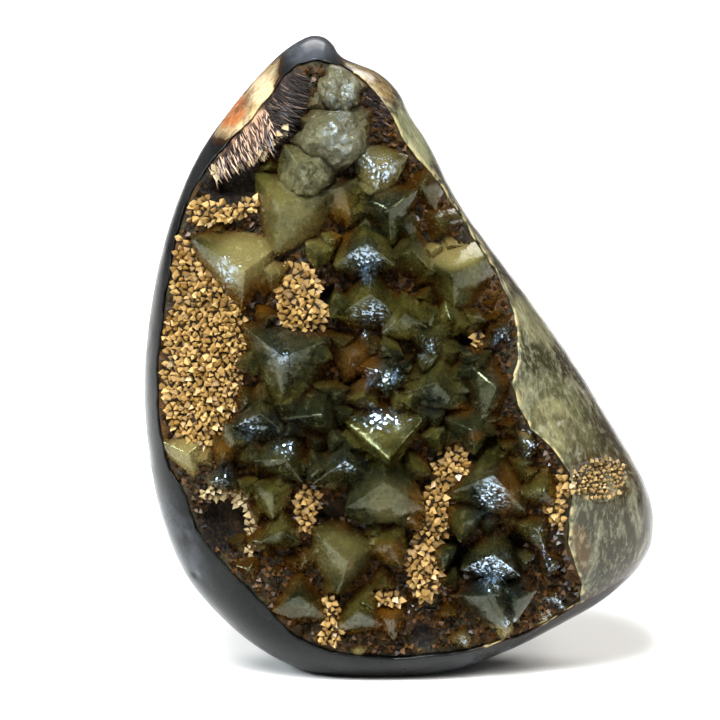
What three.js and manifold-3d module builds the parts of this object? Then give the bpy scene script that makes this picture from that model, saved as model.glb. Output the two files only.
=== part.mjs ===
// A polished septarian stone, cut as a free form, with a calcite-lined hollow in its front face.
// Millimetres, +Z up. The stone leans back a little on a small flat spot at z = 0, its face towards -Y.

import * as THREE from 'three';
import { mergeVertices } from 'three/addons/utils/BufferGeometryUtils.js';
import Module from 'manifold-3d';

const wasm = await Module();
wasm.setup();

// Driving dimensions. The face has its own axes: u across, v up along the stone, w out towards the front.
const LEAN = THREE.MathUtils.degToRad(3);
const FACE_CENTRE = [-3, 44];
const FRONT_DEPTH = 20;
const BACK_DEPTH = 21;
const FRONT_ROUNDING = 2.6;
const BACK_ROUNDING = 2.8;
const DEPTH_SHIFT = -2.2;
const WIDTH_SHIFT = 0.14;

const RIM_GAP = 0.6;
const FLOOR_GAP = 0.5;
const INSET_FADE = 14;
const RIM_STEP = 0.9;
const HOLLOW_DEPTH = 6.2;
const WALL_STEEPNESS = 5;
const LINING = 2.8;
const OPEN_TOP = 60;

const SPOKES = 64;
const SPOKE_PHASE = 0.75;
const FACE_RINGS = 8;
const BACK_RINGS = 7;
const HOLLOW_RINGS = 7;

// The stone's outline, clockwise from the top, as [u, v]. It runs a little below the flat spot.
const STONE_OUTLINE = [
  [-14.4, 94.9], [-11.9, 95.2], [-10.2, 94.1], [-8.6, 92.0], [-3.6, 89.9], [-0.4, 87.0], [1.7, 83.0],
  [4.5, 78.7], [8.6, 70.7], [13.6, 63.6], [19.0, 56.4], [25.6, 47.1], [31.4, 37.8], [36.8, 28.4],
  [38.3, 21.6], [36.6, 16.2], [31.4, 11.0], [24.6, 6.9], [16.6, 2.8], [7.0, -0.6], [-3.0, -1.7],
  [-12.6, -0.9], [-20.0, 2.2], [-26.6, 7.4], [-32.4, 14.3], [-36.2, 23.8], [-38.0, 33.8], [-38.5, 44.0],
  [-37.4, 55.0], [-34.9, 66.2], [-30.6, 76.8], [-24.6, 85.4], [-18.6, 92.0],
];

// The rim of the hollow, clockwise from the top, as [u, v].
const HOLLOW_RIM = [
  [-15.0, 91.4], [-12.0, 92.0], [-8.6, 91.0], [-5.7, 88.9], [-3.2, 86.6], [-1.2, 83.7], [0.2, 80.7],
  [2.3, 77.7], [4.6, 75.2], [7.0, 71.4], [10.3, 66.2], [13.2, 61.9], [15.4, 57.9], [16.9, 53.3],
  [17.0, 48.6], [16.0, 45.2], [17.0, 42.2], [18.8, 38.6], [22.2, 35.6], [24.6, 32.0], [25.2, 28.6],
  [24.6, 25.0], [24.5, 21.5], [25.6, 18.0], [26.8, 14.8], [26.6, 11.8], [21.0, 8.0], [13.5, 5.2],
  [4.5, 3.9], [-3.0, 3.6], [-10.4, 4.6], [-15.6, 6.8], [-18.8, 10.4], [-22.4, 14.2], [-26.6, 18.4],
  [-30.1, 23.0], [-31.7, 28.0], [-34.2, 32.0], [-35.4, 37.0], [-35.8, 44.0], [-35.1, 53.0],
  [-34.0, 60.5], [-32.8, 66.5], [-31.0, 72.0], [-28.2, 76.6], [-25.2, 80.0], [-21.9, 83.4],
  [-19.3, 86.8], [-17.3, 89.6],
];

// Dark pockets that go deeper than the lining: [u, v, half width, half height, turn in degrees, depth].
const POCKETS = [
  [-23.6, 74.2, 5.0, 2.4, 20, 5.5], [-26.2, 23.3, 3.4, 4.0, 0, 5.0], [-10.6, 57.6, 1.6, 1.6, 0, 3.0],
  [-2.4, 65.6, 1.8, 2.0, 0, 3.5], [9.0, 51.4, 1.6, 1.4, 0, 3.0], [12.4, 35.4, 2.6, 2.0, 0, 3.5],
  [0.4, 33.0, 1.8, 1.6, 0, 3.0], [-9.6, 25.6, 3.0, 1.8, 20, 3.5], [8.6, 19.2, 2.0, 3.4, 0, 4.0],
  [16.9, 20.8, 2.0, 1.8, 0, 3.0], [3.2, 6.6, 1.8, 1.8, 0, 2.5], [-7.0, 46.0, 2.0, 2.0, 0, 2.5],
];

// Low mounds of the gold druse: [u, v, half width, half height, turn in degrees, rise].
const DRUSE_MOUNDS = [
  [-29.0, 49.0, 6.4, 15.0, -4, 1.6], [-26.4, 70.2, 6.0, 2.2, 8, 1.6], [-14.4, 56.4, 3.8, 6.0, 0, 2.4],
  [7.6, 32.6, 2.6, 3.4, -20, 2.4], [4.8, 25.0, 2.6, 5.2, -12, 2.6], [3.6, 16.6, 2.6, 4.8, -4, 2.6],
  [28.0, 30.8, 5.6, 3.4, 0, 1.4], [-13.6, 26.0, 1.8, 3.8, 0, 1.6], [-10.4, 8.4, 1.5, 5.2, 0, 1.6],
  [10.4, 51.2, 1.7, 1.9, 0, 1.4], [-1.6, 12.4, 2.2, 1.4, 0, 1.6],
];

// Ledges of fibrous mineral under the rim at the upper left: [u, v, half width, half height, turn, rise].
const FIBRE_LEDGES = [
  [-22.4, 80.4, 7.0, 2.8, 38, 4.6], [-17.4, 84.8, 2.6, 6.4, -12, 3.0],
];

// A shallow druse-lined dip in the polished calcite at the right edge.
const SIDE_DIP = { centre: [29.2, 30.6], half: [4.4, 2.9], edge: 0.9, depth: 1.7, sides: 14 };

// The main calcite crystals: [tip u, tip v, tip over the polished face, foot u, foot v, radius, turn].
const CRYSTALS = [
  [-9.2, 87.6, 0.3, -9.3, 87.4, 4.0, 10], [-9.2, 81.6, 0.9, -9.8, 80.4, 5.4, 35],
  [-14.6, 76.6, 0.6, -14.8, 75.6, 3.6, 5], [-17.6, 71.6, 0.6, -14.6, 69.4, 5.8, 15],
  [-8.6, 74.2, -0.4, -8.7, 67.6, 2.8, 50], [-3.2, 76.8, 0.4, -3.6, 75.4, 3.7, 22],
  [3.0, 73.8, 0.0, 2.6, 73.0, 3.9, 60], [-1.8, 70.8, -0.6, -2.2, 69.6, 4.3, 35],
  [-22.7, 61.8, 0.8, -24.4, 62.2, 6.4, 30], [-5.2, 66.0, 0.2, -5.6, 62.2, 4.2, 90],
  [1.6, 64.8, -0.8, 1.0, 62.0, 3.5, 80], [7.6, 61.4, 1.2, 8.0, 59.0, 6.4, 30],
  [5.6, 68.4, -0.6, 5.0, 67.8, 3.4, 10], [-4.6, 58.8, 0.4, -4.5, 54.6, 4.3, 88],
  [0.6, 55.6, -0.6, 0.2, 52.2, 3.3, 95], [4.2, 52.0, -0.8, 4.4, 50.6, 3.1, 40],
  [-17.2, 49.6, 1.4, -15.8, 47.4, 7.1, 24], [-11.6, 41.0, -0.4, -13.6, 40.2, 4.4, 70],
  [-20.6, 41.0, -0.6, -20.8, 38.4, 4.8, 85], [-7.4, 49.2, -1.4, -7.0, 48.0, 3.2, 15],
  [-3.0, 47.2, -1.0, -2.8, 46.2, 3.3, 45], [-1.9, 34.6, 1.2, -2.8, 39.4, 6.0, 32],
  [5.0, 45.6, -0.8, 5.2, 42.8, 3.9, 75], [13.8, 44.8, 0.2, 11.4, 43.4, 4.7, 15],
  [15.0, 53.0, -0.4, 14.8, 51.0, 3.2, 60], [10.2, 38.6, -1.2, 9.8, 38.2, 3.3, 40],
  [13.4, 32.2, 0.9, 12.8, 28.4, 6.0, 78], [18.8, 36.6, -0.6, 18.6, 35.2, 2.4, 20],
  [-8.2, 34.2, 0.2, -8.2, 31.4, 4.6, 92], [-2.5, 31.4, 1.3, -2.3, 26.8, 5.4, 90],
  [-7.8, 19.4, 0.7, -9.2, 19.4, 4.9, 20], [-1.6, 21.4, -0.6, -1.8, 20.0, 3.0, 55],
  [-17.6, 23.4, -0.8, -17.8, 21.6, 2.8, 88], [-18.8, 28.8, -0.8, -19.0, 27.2, 2.9, 30],
  [-17.0, 34.2, -1.2, -17.4, 33.2, 3.6, 65], [-31.2, 34.6, -0.2, -31.2, 33.6, 3.9, 40],
  [-25.8, 35.0, -1.0, -25.8, 34.4, 2.5, 10], [-26.0, 30.8, -1.2, -25.8, 30.4, 3.3, 75],
  [-22.4, 17.4, -0.8, -22.6, 16.8, 3.6, 50], [13.6, 20.0, 0.5, 13.4, 17.4, 4.2, 84],
  [12.6, 13.6, 0.2, 13.0, 11.6, 4.8, 60], [17.2, 12.6, 0.0, 16.8, 12.0, 2.8, 25],
  [22.8, 12.6, -0.6, 22.6, 12.2, 2.6, 70], [26.6, 14.2, -0.6, 26.2, 14.0, 2.3, 35],
  [22.4, 18.2, -0.8, 22.2, 17.8, 2.4, 10], [20.0, 23.6, -0.8, 20.0, 22.8, 3.2, 50],
  [20.8, 29.4, -0.6, 20.8, 28.8, 3.4, 75], [-15.0, 13.6, 0.2, -15.3, 10.8, 4.4, 86],
  [-6.2, 11.4, 0.4, -6.0, 8.6, 4.0, 94], [-1.6, 9.8, -0.6, -1.6, 8.6, 2.8, 40],
  [-6.4, 4.6, -0.4, -6.4, 4.8, 2.6, 15], [8.8, 6.6, -0.4, 8.8, 6.8, 2.8, 65],
  [15.2, 7.6, -0.3, 15.0, 8.0, 2.6, 30], [21.2, 9.4, -0.3, 21.0, 9.8, 2.4, 5],
  [-21.6, 12.2, -0.6, -21.0, 12.6, 2.6, 45], [9.2, 24.6, -1.6, 9.4, 24.2, 2.6, 20],
];

// Small crystals fill the calcite between the main ones.
const FILLER_COUNT = 100;
const FILLER_RADIUS = [2.0, 3.0];
const FILLER_DROP = [1.6, 3.6];
const FILLER_LEAN = 1.6;
const GOLDEN_ANGLE = Math.PI * (3 - Math.sqrt(5));

const CRYSTAL_SIDES = 6;
const CORNER_REACH = [1.08, 0.84];
const TIP_STEEPNESS = [0.68, 1.08];
const MAIN_SPREAD = 1.16;
const TIP_LIMIT = 0.45;
const PRISM_TAPER = 1.12;
const FOOT_DEPTH = 7;

// A repeatable number from 0 to 1 for each index and channel.
const chance = (index, channel) => {
  const value = Math.sin(index * 12.9898 + channel * 78.233) * 43758.5453;
  return value - Math.floor(value);
};

const between = ([low, high], share) => low + (high - low) * share;

const polar = ([u, v]) => {
  const across = u - FACE_CENTRE[0];
  const up = v - FACE_CENTRE[1];
  return [Math.atan2(up, across), Math.hypot(across, up)];
};

// The distance of an outline from the face's centre in a direction, straight between its points.
const radiusFinder = (points) => {
  const spokes = points.map(polar).sort((a, b) => a[0] - b[0]);
  const last = spokes[spokes.length - 1];
  const round = [[last[0] - 2 * Math.PI, last[1]], ...spokes, [spokes[0][0] + 2 * Math.PI, spokes[0][1]]];
  return (angle) => {
    const next = Math.max(1, round.findIndex((spoke) => spoke[0] >= angle));
    const [fromAngle, fromRadius] = round[next - 1];
    const [toAngle, toRadius] = round[next];
    return fromRadius + (toRadius - fromRadius) * (angle - fromAngle) / (toAngle - fromAngle);
  };
};

const smoothOutline = (points) => {
  const knots = points.map(([u, v]) => new THREE.Vector3(u, v, 0));
  const curve = new THREE.CatmullRomCurve3(knots, true, 'catmullrom', 0.5);
  return curve.getPoints(points.length * 12).slice(0, -1).map((point) => [point.x, point.y]);
};

const stoneRadius = radiusFinder(smoothOutline(STONE_OUTLINE));
const rimRadius = radiusFinder(HOLLOW_RIM);

// The polished surface is a pillow: full depth at the face's centre, none at the outline.
const pillow = (share, depth, rounding) => {
  return depth * (1 - Math.min(share, 1) ** rounding) ** (1 / rounding);
};

const polishedFront = (u, v) => {
  const [angle, radius] = polar([u, v]);
  return pillow(radius / stoneRadius(angle), FRONT_DEPTH, FRONT_ROUNDING);
};

// How strongly a mound or pocket is felt at a point: 1 at its middle, fading past its edge.
const blob = (u, v, [centreU, centreV, halfU, halfV, turn]) => {
  const angle = THREE.MathUtils.degToRad(turn);
  const across = (u - centreU) * Math.cos(angle) + (v - centreV) * Math.sin(angle);
  const up = (v - centreV) * Math.cos(angle) - (u - centreU) * Math.sin(angle);
  return Math.exp(-(((across / halfU) ** 2 + (up / halfV) ** 2) ** 2));
};

// The lining's surface lies below the polished face: a step at the rim, a steep wall, then a dished floor.
const liningTop = (u, v) => {
  const [angle, radius] = polar([u, v]);
  const share = Math.min(radius / rimRadius(angle), 1);
  const dish = RIM_STEP + HOLLOW_DEPTH * (1 - share ** WALL_STEEPNESS);
  const pockets = POCKETS.reduce((sum, pocket) => sum + pocket[5] * blob(u, v, pocket), 0);
  const raised = [...DRUSE_MOUNDS, ...FIBRE_LEDGES];
  const mounds = raised.reduce((sum, mound) => sum + mound[5] * blob(u, v, mound), 0);
  const inside = 1 - share ** (2 * WALL_STEEPNESS);
  return polishedFront(u, v) - dish - (pockets - mounds) * inside;
};

const hollowFloor = (u, v) => liningTop(u, v) - LINING;

// A point of the face's axes in the stone's frame.
const place = (u, v, w) => new THREE.Vector3(
  u + WIDTH_SHIFT,
  v * Math.sin(LEAN) - w * Math.cos(LEAN) + DEPTH_SHIFT,
  v * Math.cos(LEAN) + w * Math.sin(LEAN),
);

const solidOf = (geometry) => {
  const bare = geometry.clone();
  bare.deleteAttribute('normal');
  bare.deleteAttribute('uv');
  const merged = mergeVertices(bare);
  return new wasm.Manifold(new wasm.Mesh({
    numProp: 3,
    vertProperties: new Float32Array(merged.attributes.position.array),
    triVerts: new Uint32Array(merged.index.array),
  }));
};

const geometryOf = (solid) => {
  const mesh = solid.getMesh();
  const geometry = new THREE.BufferGeometry();
  geometry.setAttribute('position', new THREE.BufferAttribute(mesh.vertProperties, 3));
  geometry.setIndex(new THREE.BufferAttribute(mesh.triVerts, 1));
  return geometry;
};

// A closed body from rows of points, each row a loop of the same length, and a pole at either end.
const loopsSolid = (firstPole, loops, lastPole) => {
  const count = loops[0].length;
  const points = [firstPole, ...loops.flat(), lastPole];
  const at = (row, spoke) => 1 + row * count + (spoke % count);
  const faces = [];
  for (let spoke = 0; spoke < count; spoke += 1) {
    faces.push(0, at(0, spoke), at(0, spoke + 1));
    faces.push(points.length - 1, at(loops.length - 1, spoke + 1), at(loops.length - 1, spoke));
    for (let row = 0; row + 1 < loops.length; row += 1) {
      faces.push(at(row, spoke), at(row + 1, spoke), at(row + 1, spoke + 1));
      faces.push(at(row, spoke), at(row + 1, spoke + 1), at(row, spoke + 1));
    }
  }
  const geometry = new THREE.BufferGeometry().setFromPoints(points);
  geometry.setIndex(faces);
  return solidOf(geometry);
};

// One loop round the face's centre: a share of the way out to a radius, at the height that a rule gives.
// An inset draws the loops next to the rim in, and their heights stay those of the full loops.
const faceLoop = (share, radius, height, inset = 0) => Array.from({ length: SPOKES }, (_, spoke) => {
  const angle = -Math.PI + (2 * Math.PI * (spoke + SPOKE_PHASE)) / SPOKES;
  const at = (distance) => [
    FACE_CENTRE[0] + distance * Math.cos(angle),
    FACE_CENTRE[1] + distance * Math.sin(angle),
  ];
  const reach = share * radius(angle);
  return place(...at(reach - inset * share ** INSET_FADE), height(...at(reach)));
});

const pillowStone = () => {
  const loops = [];
  for (let ring = 1; ring <= FACE_RINGS; ring += 1) {
    const share = Math.sin((ring / FACE_RINGS) * Math.PI / 2);
    loops.push(faceLoop(share, stoneRadius, () => pillow(share, FRONT_DEPTH, FRONT_ROUNDING)));
  }
  for (let ring = BACK_RINGS - 1; ring >= 1; ring -= 1) {
    const share = Math.sin((ring / BACK_RINGS) * Math.PI / 2);
    loops.push(faceLoop(share, stoneRadius, () => -pillow(share, BACK_DEPTH, BACK_ROUNDING)));
  }
  const [u, v] = FACE_CENTRE;
  return loopsSolid(place(u, v, FRONT_DEPTH), loops, place(u, v, -BACK_DEPTH));
};

// A closed layer inside the hollow's rim, from a lower surface up to an upper one.
const rimLayer = (upper, lower, inset = 0) => {
  const shares = Array.from({ length: HOLLOW_RINGS }, (_, ring) => ((ring + 1) / HOLLOW_RINGS) ** 0.8);
  const upperLoops = shares.map((share) => faceLoop(share, rimRadius, upper, inset));
  const lowerLoops = shares.map((share) => faceLoop(share, rimRadius, lower, inset)).reverse();
  const [u, v] = FACE_CENTRE;
  return loopsSolid(place(u, v, upper(u, v)), [...upperLoops, ...lowerLoops], place(u, v, lower(u, v)));
};

// A calcite crystal: a prism under a three-sided pyramid. Three of its corners reach far out at the pyramid's
// own corners, and the three between them lie lower, on the planes of its faces.
const crystal = ([tipU, tipV, rise, footU, footV, radius, turn], index) => {
  const tip = place(tipU, tipV, polishedFront(tipU, tipV) + rise);
  const foot = place(footU, footV, liningTop(footU, footV) - FOOT_DEPTH);
  const axis = tip.clone().sub(foot);
  const height = axis.length();
  axis.normalize();
  const side = new THREE.Vector3(1, 0, 0).addScaledVector(axis, -axis.x).normalize();
  const up = new THREE.Vector3().crossVectors(axis, side);
  const drop = Math.min(between(TIP_STEEPNESS, chance(index, 6)) * radius, height * TIP_LIMIT);
  const lowFall = (2 * CORNER_REACH[1]) / CORNER_REACH[0];
  const ring = (spread, level) => Array.from({ length: CRYSTAL_SIDES }, (_, corner) => {
    const angle = THREE.MathUtils.degToRad(turn) + (2 * Math.PI * corner) / CRYSTAL_SIDES;
    const along = height - level(corner);
    const reach = spread * CORNER_REACH[corner % 2];
    return foot.clone().addScaledVector(axis, along)
      .addScaledVector(side, reach * Math.cos(angle))
      .addScaledVector(up, reach * Math.sin(angle));
  });
  const shoulder = ring(radius, (corner) => (corner % 2 ? lowFall : 1) * drop);
  const base = ring(radius * PRISM_TAPER, () => height);
  return crystalBody(tip, shoulder, base, foot);
};

// The pyramid's faces fold along the lines from the tip to the low corners, where they stay flat.
const crystalBody = (tip, shoulder, base, foot) => loopsSolid(tip, [shoulder, base], foot);

const inAny = (u, v, zones, level) => zones.some((zone) => blob(u, v, zone) > level);

const nearCrystal = (u, v) => CRYSTALS.some(([, , , footU, footV, radius]) => (
  Math.hypot(u - footU, v - footV) < 0.62 * radius
));

// The fillers lie on a sunflower spiral inside the rim, and leave the druse and the pockets free.
const fillers = () => {
  const list = [];
  for (let index = 1; index <= FILLER_COUNT; index += 1) {
    const angle = Math.atan2(Math.sin(index * GOLDEN_ANGLE), Math.cos(index * GOLDEN_ANGLE));
    const reach = 0.95 * Math.sqrt(index / FILLER_COUNT) * rimRadius(angle);
    const u = FACE_CENTRE[0] + reach * Math.cos(angle);
    const v = FACE_CENTRE[1] + reach * Math.sin(angle);
    if (inAny(u, v, [...DRUSE_MOUNDS, ...POCKETS, ...FIBRE_LEDGES], 0.3) || nearCrystal(u, v)) continue;
    const tipU = u + FILLER_LEAN * (chance(index, 1) - 0.5);
    const tipV = v + FILLER_LEAN * (chance(index, 2) - 0.5);
    const drop = between(FILLER_DROP, chance(index, 3));
    list.push([tipU, tipV, -drop, u, v, between(FILLER_RADIUS, chance(index, 4)), 120 * chance(index, 5)]);
  }
  return list;
};

// The ground that the stone stands on, cut away to leave the flat spot.
const ground = () => {
  const size = 300;
  return solidOf(new THREE.BoxGeometry(size, size, size).translate(0, 0, -size / 2));
};

const hollow = (inset, lift) => rimLayer(() => OPEN_TOP, (u, v) => hollowFloor(u, v) + lift, inset);

// The dip is a shallow pan with a low steep edge.
const sideDip = () => {
  const { centre, half, edge, depth, sides } = SIDE_DIP;
  const loop = (share, height) => Array.from({ length: sides }, (_, corner) => {
    const angle = (2 * Math.PI * corner) / sides;
    const u = centre[0] + share * half[0] * Math.cos(angle);
    const v = centre[1] + share * half[1] * Math.sin(angle);
    return place(u, v, height(u, v));
  });
  const below = (drop) => (u, v) => polishedFront(u, v) - drop;
  const loops = [loop(1, () => OPEN_TOP), loop(1, below(edge)), loop(0.7, below(depth))];
  return loopsSolid(place(...centre, OPEN_TOP), loops, place(...centre, below(depth)(...centre)));
};

const stoneBody = () => pillowStone().subtract(hollow(0, 0)).subtract(sideDip()).subtract(ground());

const crystalCrust = () => {
  let crust = rimLayer(liningTop, (u, v) => hollowFloor(u, v) - LINING);
  const main = CRYSTALS.map(([u, v, rise, footU, footV, radius, turn]) => (
    [u, v, rise, footU, footV, radius * MAIN_SPREAD, turn]
  ));
  [...main, ...fillers()].forEach((form, index) => {
    crust = crust.add(crystal(form, index));
  });
  return crust.intersect(hollow(RIM_GAP, FLOOR_GAP));
};

const piece = (name, solid, color, roughness) => {
  const mesh = new THREE.Mesh(
    geometryOf(solid),
    new THREE.MeshStandardMaterial({ color, roughness, metalness: 0 }),
  );
  mesh.name = name;
  return mesh;
};

const group = new THREE.Group();
group.add(piece('stone_body', stoneBody(), 0x4a4d52, 0.25));
group.add(piece('crystal_crust', crystalCrust(), 0x7c7a5c, 0.3));

export default group;
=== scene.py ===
# A polished septarian stone with a calcite-lined hollow: the looks of its surfaces.
# Shapes are worked out in millimetres on the stone's face (u across, v up, w out) and placed in metres.

import math

import bpy
import numpy as np
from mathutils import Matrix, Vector


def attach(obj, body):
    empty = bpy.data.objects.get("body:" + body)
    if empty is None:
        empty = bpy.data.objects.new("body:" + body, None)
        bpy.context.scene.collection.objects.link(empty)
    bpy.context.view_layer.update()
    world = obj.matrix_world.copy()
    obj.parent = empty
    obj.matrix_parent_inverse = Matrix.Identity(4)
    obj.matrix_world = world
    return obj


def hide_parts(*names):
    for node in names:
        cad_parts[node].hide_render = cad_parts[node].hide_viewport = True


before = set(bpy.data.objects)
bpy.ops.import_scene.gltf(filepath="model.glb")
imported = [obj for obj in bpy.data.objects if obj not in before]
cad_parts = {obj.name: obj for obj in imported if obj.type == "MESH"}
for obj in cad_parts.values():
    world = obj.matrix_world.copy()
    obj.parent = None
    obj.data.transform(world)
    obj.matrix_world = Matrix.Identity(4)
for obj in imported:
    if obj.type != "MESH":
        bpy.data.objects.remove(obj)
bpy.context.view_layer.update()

MM = 0.001

# The stone's dimensions, as in its solids: its lean and middle, the pillows of its front and back, its place,
# the step, depth and wall of the hollow, the lining's thickness, and how ragged the rim is.
LEAN = math.radians(3)
FACE_CENTRE = (-3.0, 44.0)
FRONT_DEPTH, BACK_DEPTH = 20.0, 21.0
FRONT_ROUNDING, BACK_ROUNDING = 2.6, 2.8
DEPTH_SHIFT, WIDTH_SHIFT = -2.2, 0.14
RIM_STEP, HOLLOW_DEPTH, WALL_STEEPNESS, LINING = 0.9, 6.2, 5, 2.8
RIM_RAGGEDNESS = 0.22

# The stone's outline, clockwise from the top, as (u, v). It runs a little below the flat spot.
STONE_OUTLINE = (
    (-14.4, 94.9), (-11.9, 95.2), (-10.2, 94.1), (-8.6, 92.0), (-3.6, 89.9), (-0.4, 87.0), (1.7, 83.0),
    (4.5, 78.7), (8.6, 70.7), (13.6, 63.6), (19.0, 56.4), (25.6, 47.1), (31.4, 37.8), (36.8, 28.4),
    (38.3, 21.6), (36.6, 16.2), (31.4, 11.0), (24.6, 6.9), (16.6, 2.8), (7.0, -0.6), (-3.0, -1.7),
    (-12.6, -0.9), (-20.0, 2.2), (-26.6, 7.4), (-32.4, 14.3), (-36.2, 23.8), (-38.0, 33.8), (-38.5, 44.0),
    (-37.4, 55.0), (-34.9, 66.2), (-30.6, 76.8), (-24.6, 85.4), (-18.6, 92.0),
)

# The rim of the hollow, clockwise from the top, as (u, v).
HOLLOW_RIM = (
    (-15.0, 91.4), (-12.0, 92.0), (-8.6, 91.0), (-5.7, 88.9), (-3.2, 86.6), (-1.2, 83.7), (0.2, 80.7),
    (2.3, 77.7), (4.6, 75.2), (7.0, 71.4), (10.3, 66.2), (13.2, 61.9), (15.4, 57.9), (16.9, 53.3),
    (17.0, 48.6), (16.0, 45.2), (17.0, 42.2), (18.8, 38.6), (22.2, 35.6), (24.6, 32.0), (25.2, 28.6),
    (24.6, 25.0), (24.5, 21.5), (25.6, 18.0), (26.8, 14.8), (26.6, 11.8), (21.0, 8.0), (13.5, 5.2),
    (4.5, 3.9), (-3.0, 3.6), (-10.4, 4.6), (-15.6, 6.8), (-18.8, 10.4), (-22.4, 14.2), (-26.6, 18.4),
    (-30.1, 23.0), (-31.7, 28.0), (-34.2, 32.0), (-35.4, 37.0), (-35.8, 44.0), (-35.1, 53.0),
    (-34.0, 60.5), (-32.8, 66.5), (-31.0, 72.0), (-28.2, 76.6), (-25.2, 80.0), (-21.9, 83.4),
    (-19.3, 86.8), (-17.3, 89.6),
)

# Pockets, mounds and ledges of the lining: (u, v, half width, half height, turn, depth or rise).
POCKETS = (
    (-23.6, 74.2, 5.0, 2.4, 20, 5.5), (-26.2, 23.3, 3.4, 4.0, 0, 5.0), (-10.6, 57.6, 1.6, 1.6, 0, 3.0),
    (-2.4, 65.6, 1.8, 2.0, 0, 3.5), (9.0, 51.4, 1.6, 1.4, 0, 3.0), (12.4, 35.4, 2.6, 2.0, 0, 3.5),
    (0.4, 33.0, 1.8, 1.6, 0, 3.0), (-9.6, 25.6, 3.0, 1.8, 20, 3.5), (8.6, 19.2, 2.0, 3.4, 0, 4.0),
    (16.9, 20.8, 2.0, 1.8, 0, 3.0), (3.2, 6.6, 1.8, 1.8, 0, 2.5), (-7.0, 46.0, 2.0, 2.0, 0, 2.5),
)
DRUSE_MOUNDS = (
    (-29.0, 49.0, 6.4, 15.0, -4, 1.6), (-26.4, 70.2, 6.0, 2.2, 8, 1.6), (-14.4, 56.4, 3.8, 6.0, 0, 2.4),
    (7.6, 32.6, 2.6, 3.4, -20, 2.4), (4.8, 25.0, 2.6, 5.2, -12, 2.6), (3.6, 16.6, 2.6, 4.8, -4, 2.6),
    (28.0, 30.8, 5.6, 3.4, 0, 1.4), (-13.6, 26.0, 1.8, 3.8, 0, 1.6), (-10.4, 8.4, 1.5, 5.2, 0, 1.6),
    (10.4, 51.2, 1.7, 1.9, 0, 1.4), (-1.6, 12.4, 2.2, 1.4, 0, 1.6),
)
FIBRE_LEDGES = ((-22.4, 80.4, 7.0, 2.8, 38, 4.6), (-17.4, 84.8, 2.6, 6.4, -12, 3.0))
SIDE_DIP = (29.2, 30.6, 4.4, 2.9, 0, 1.5)

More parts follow.
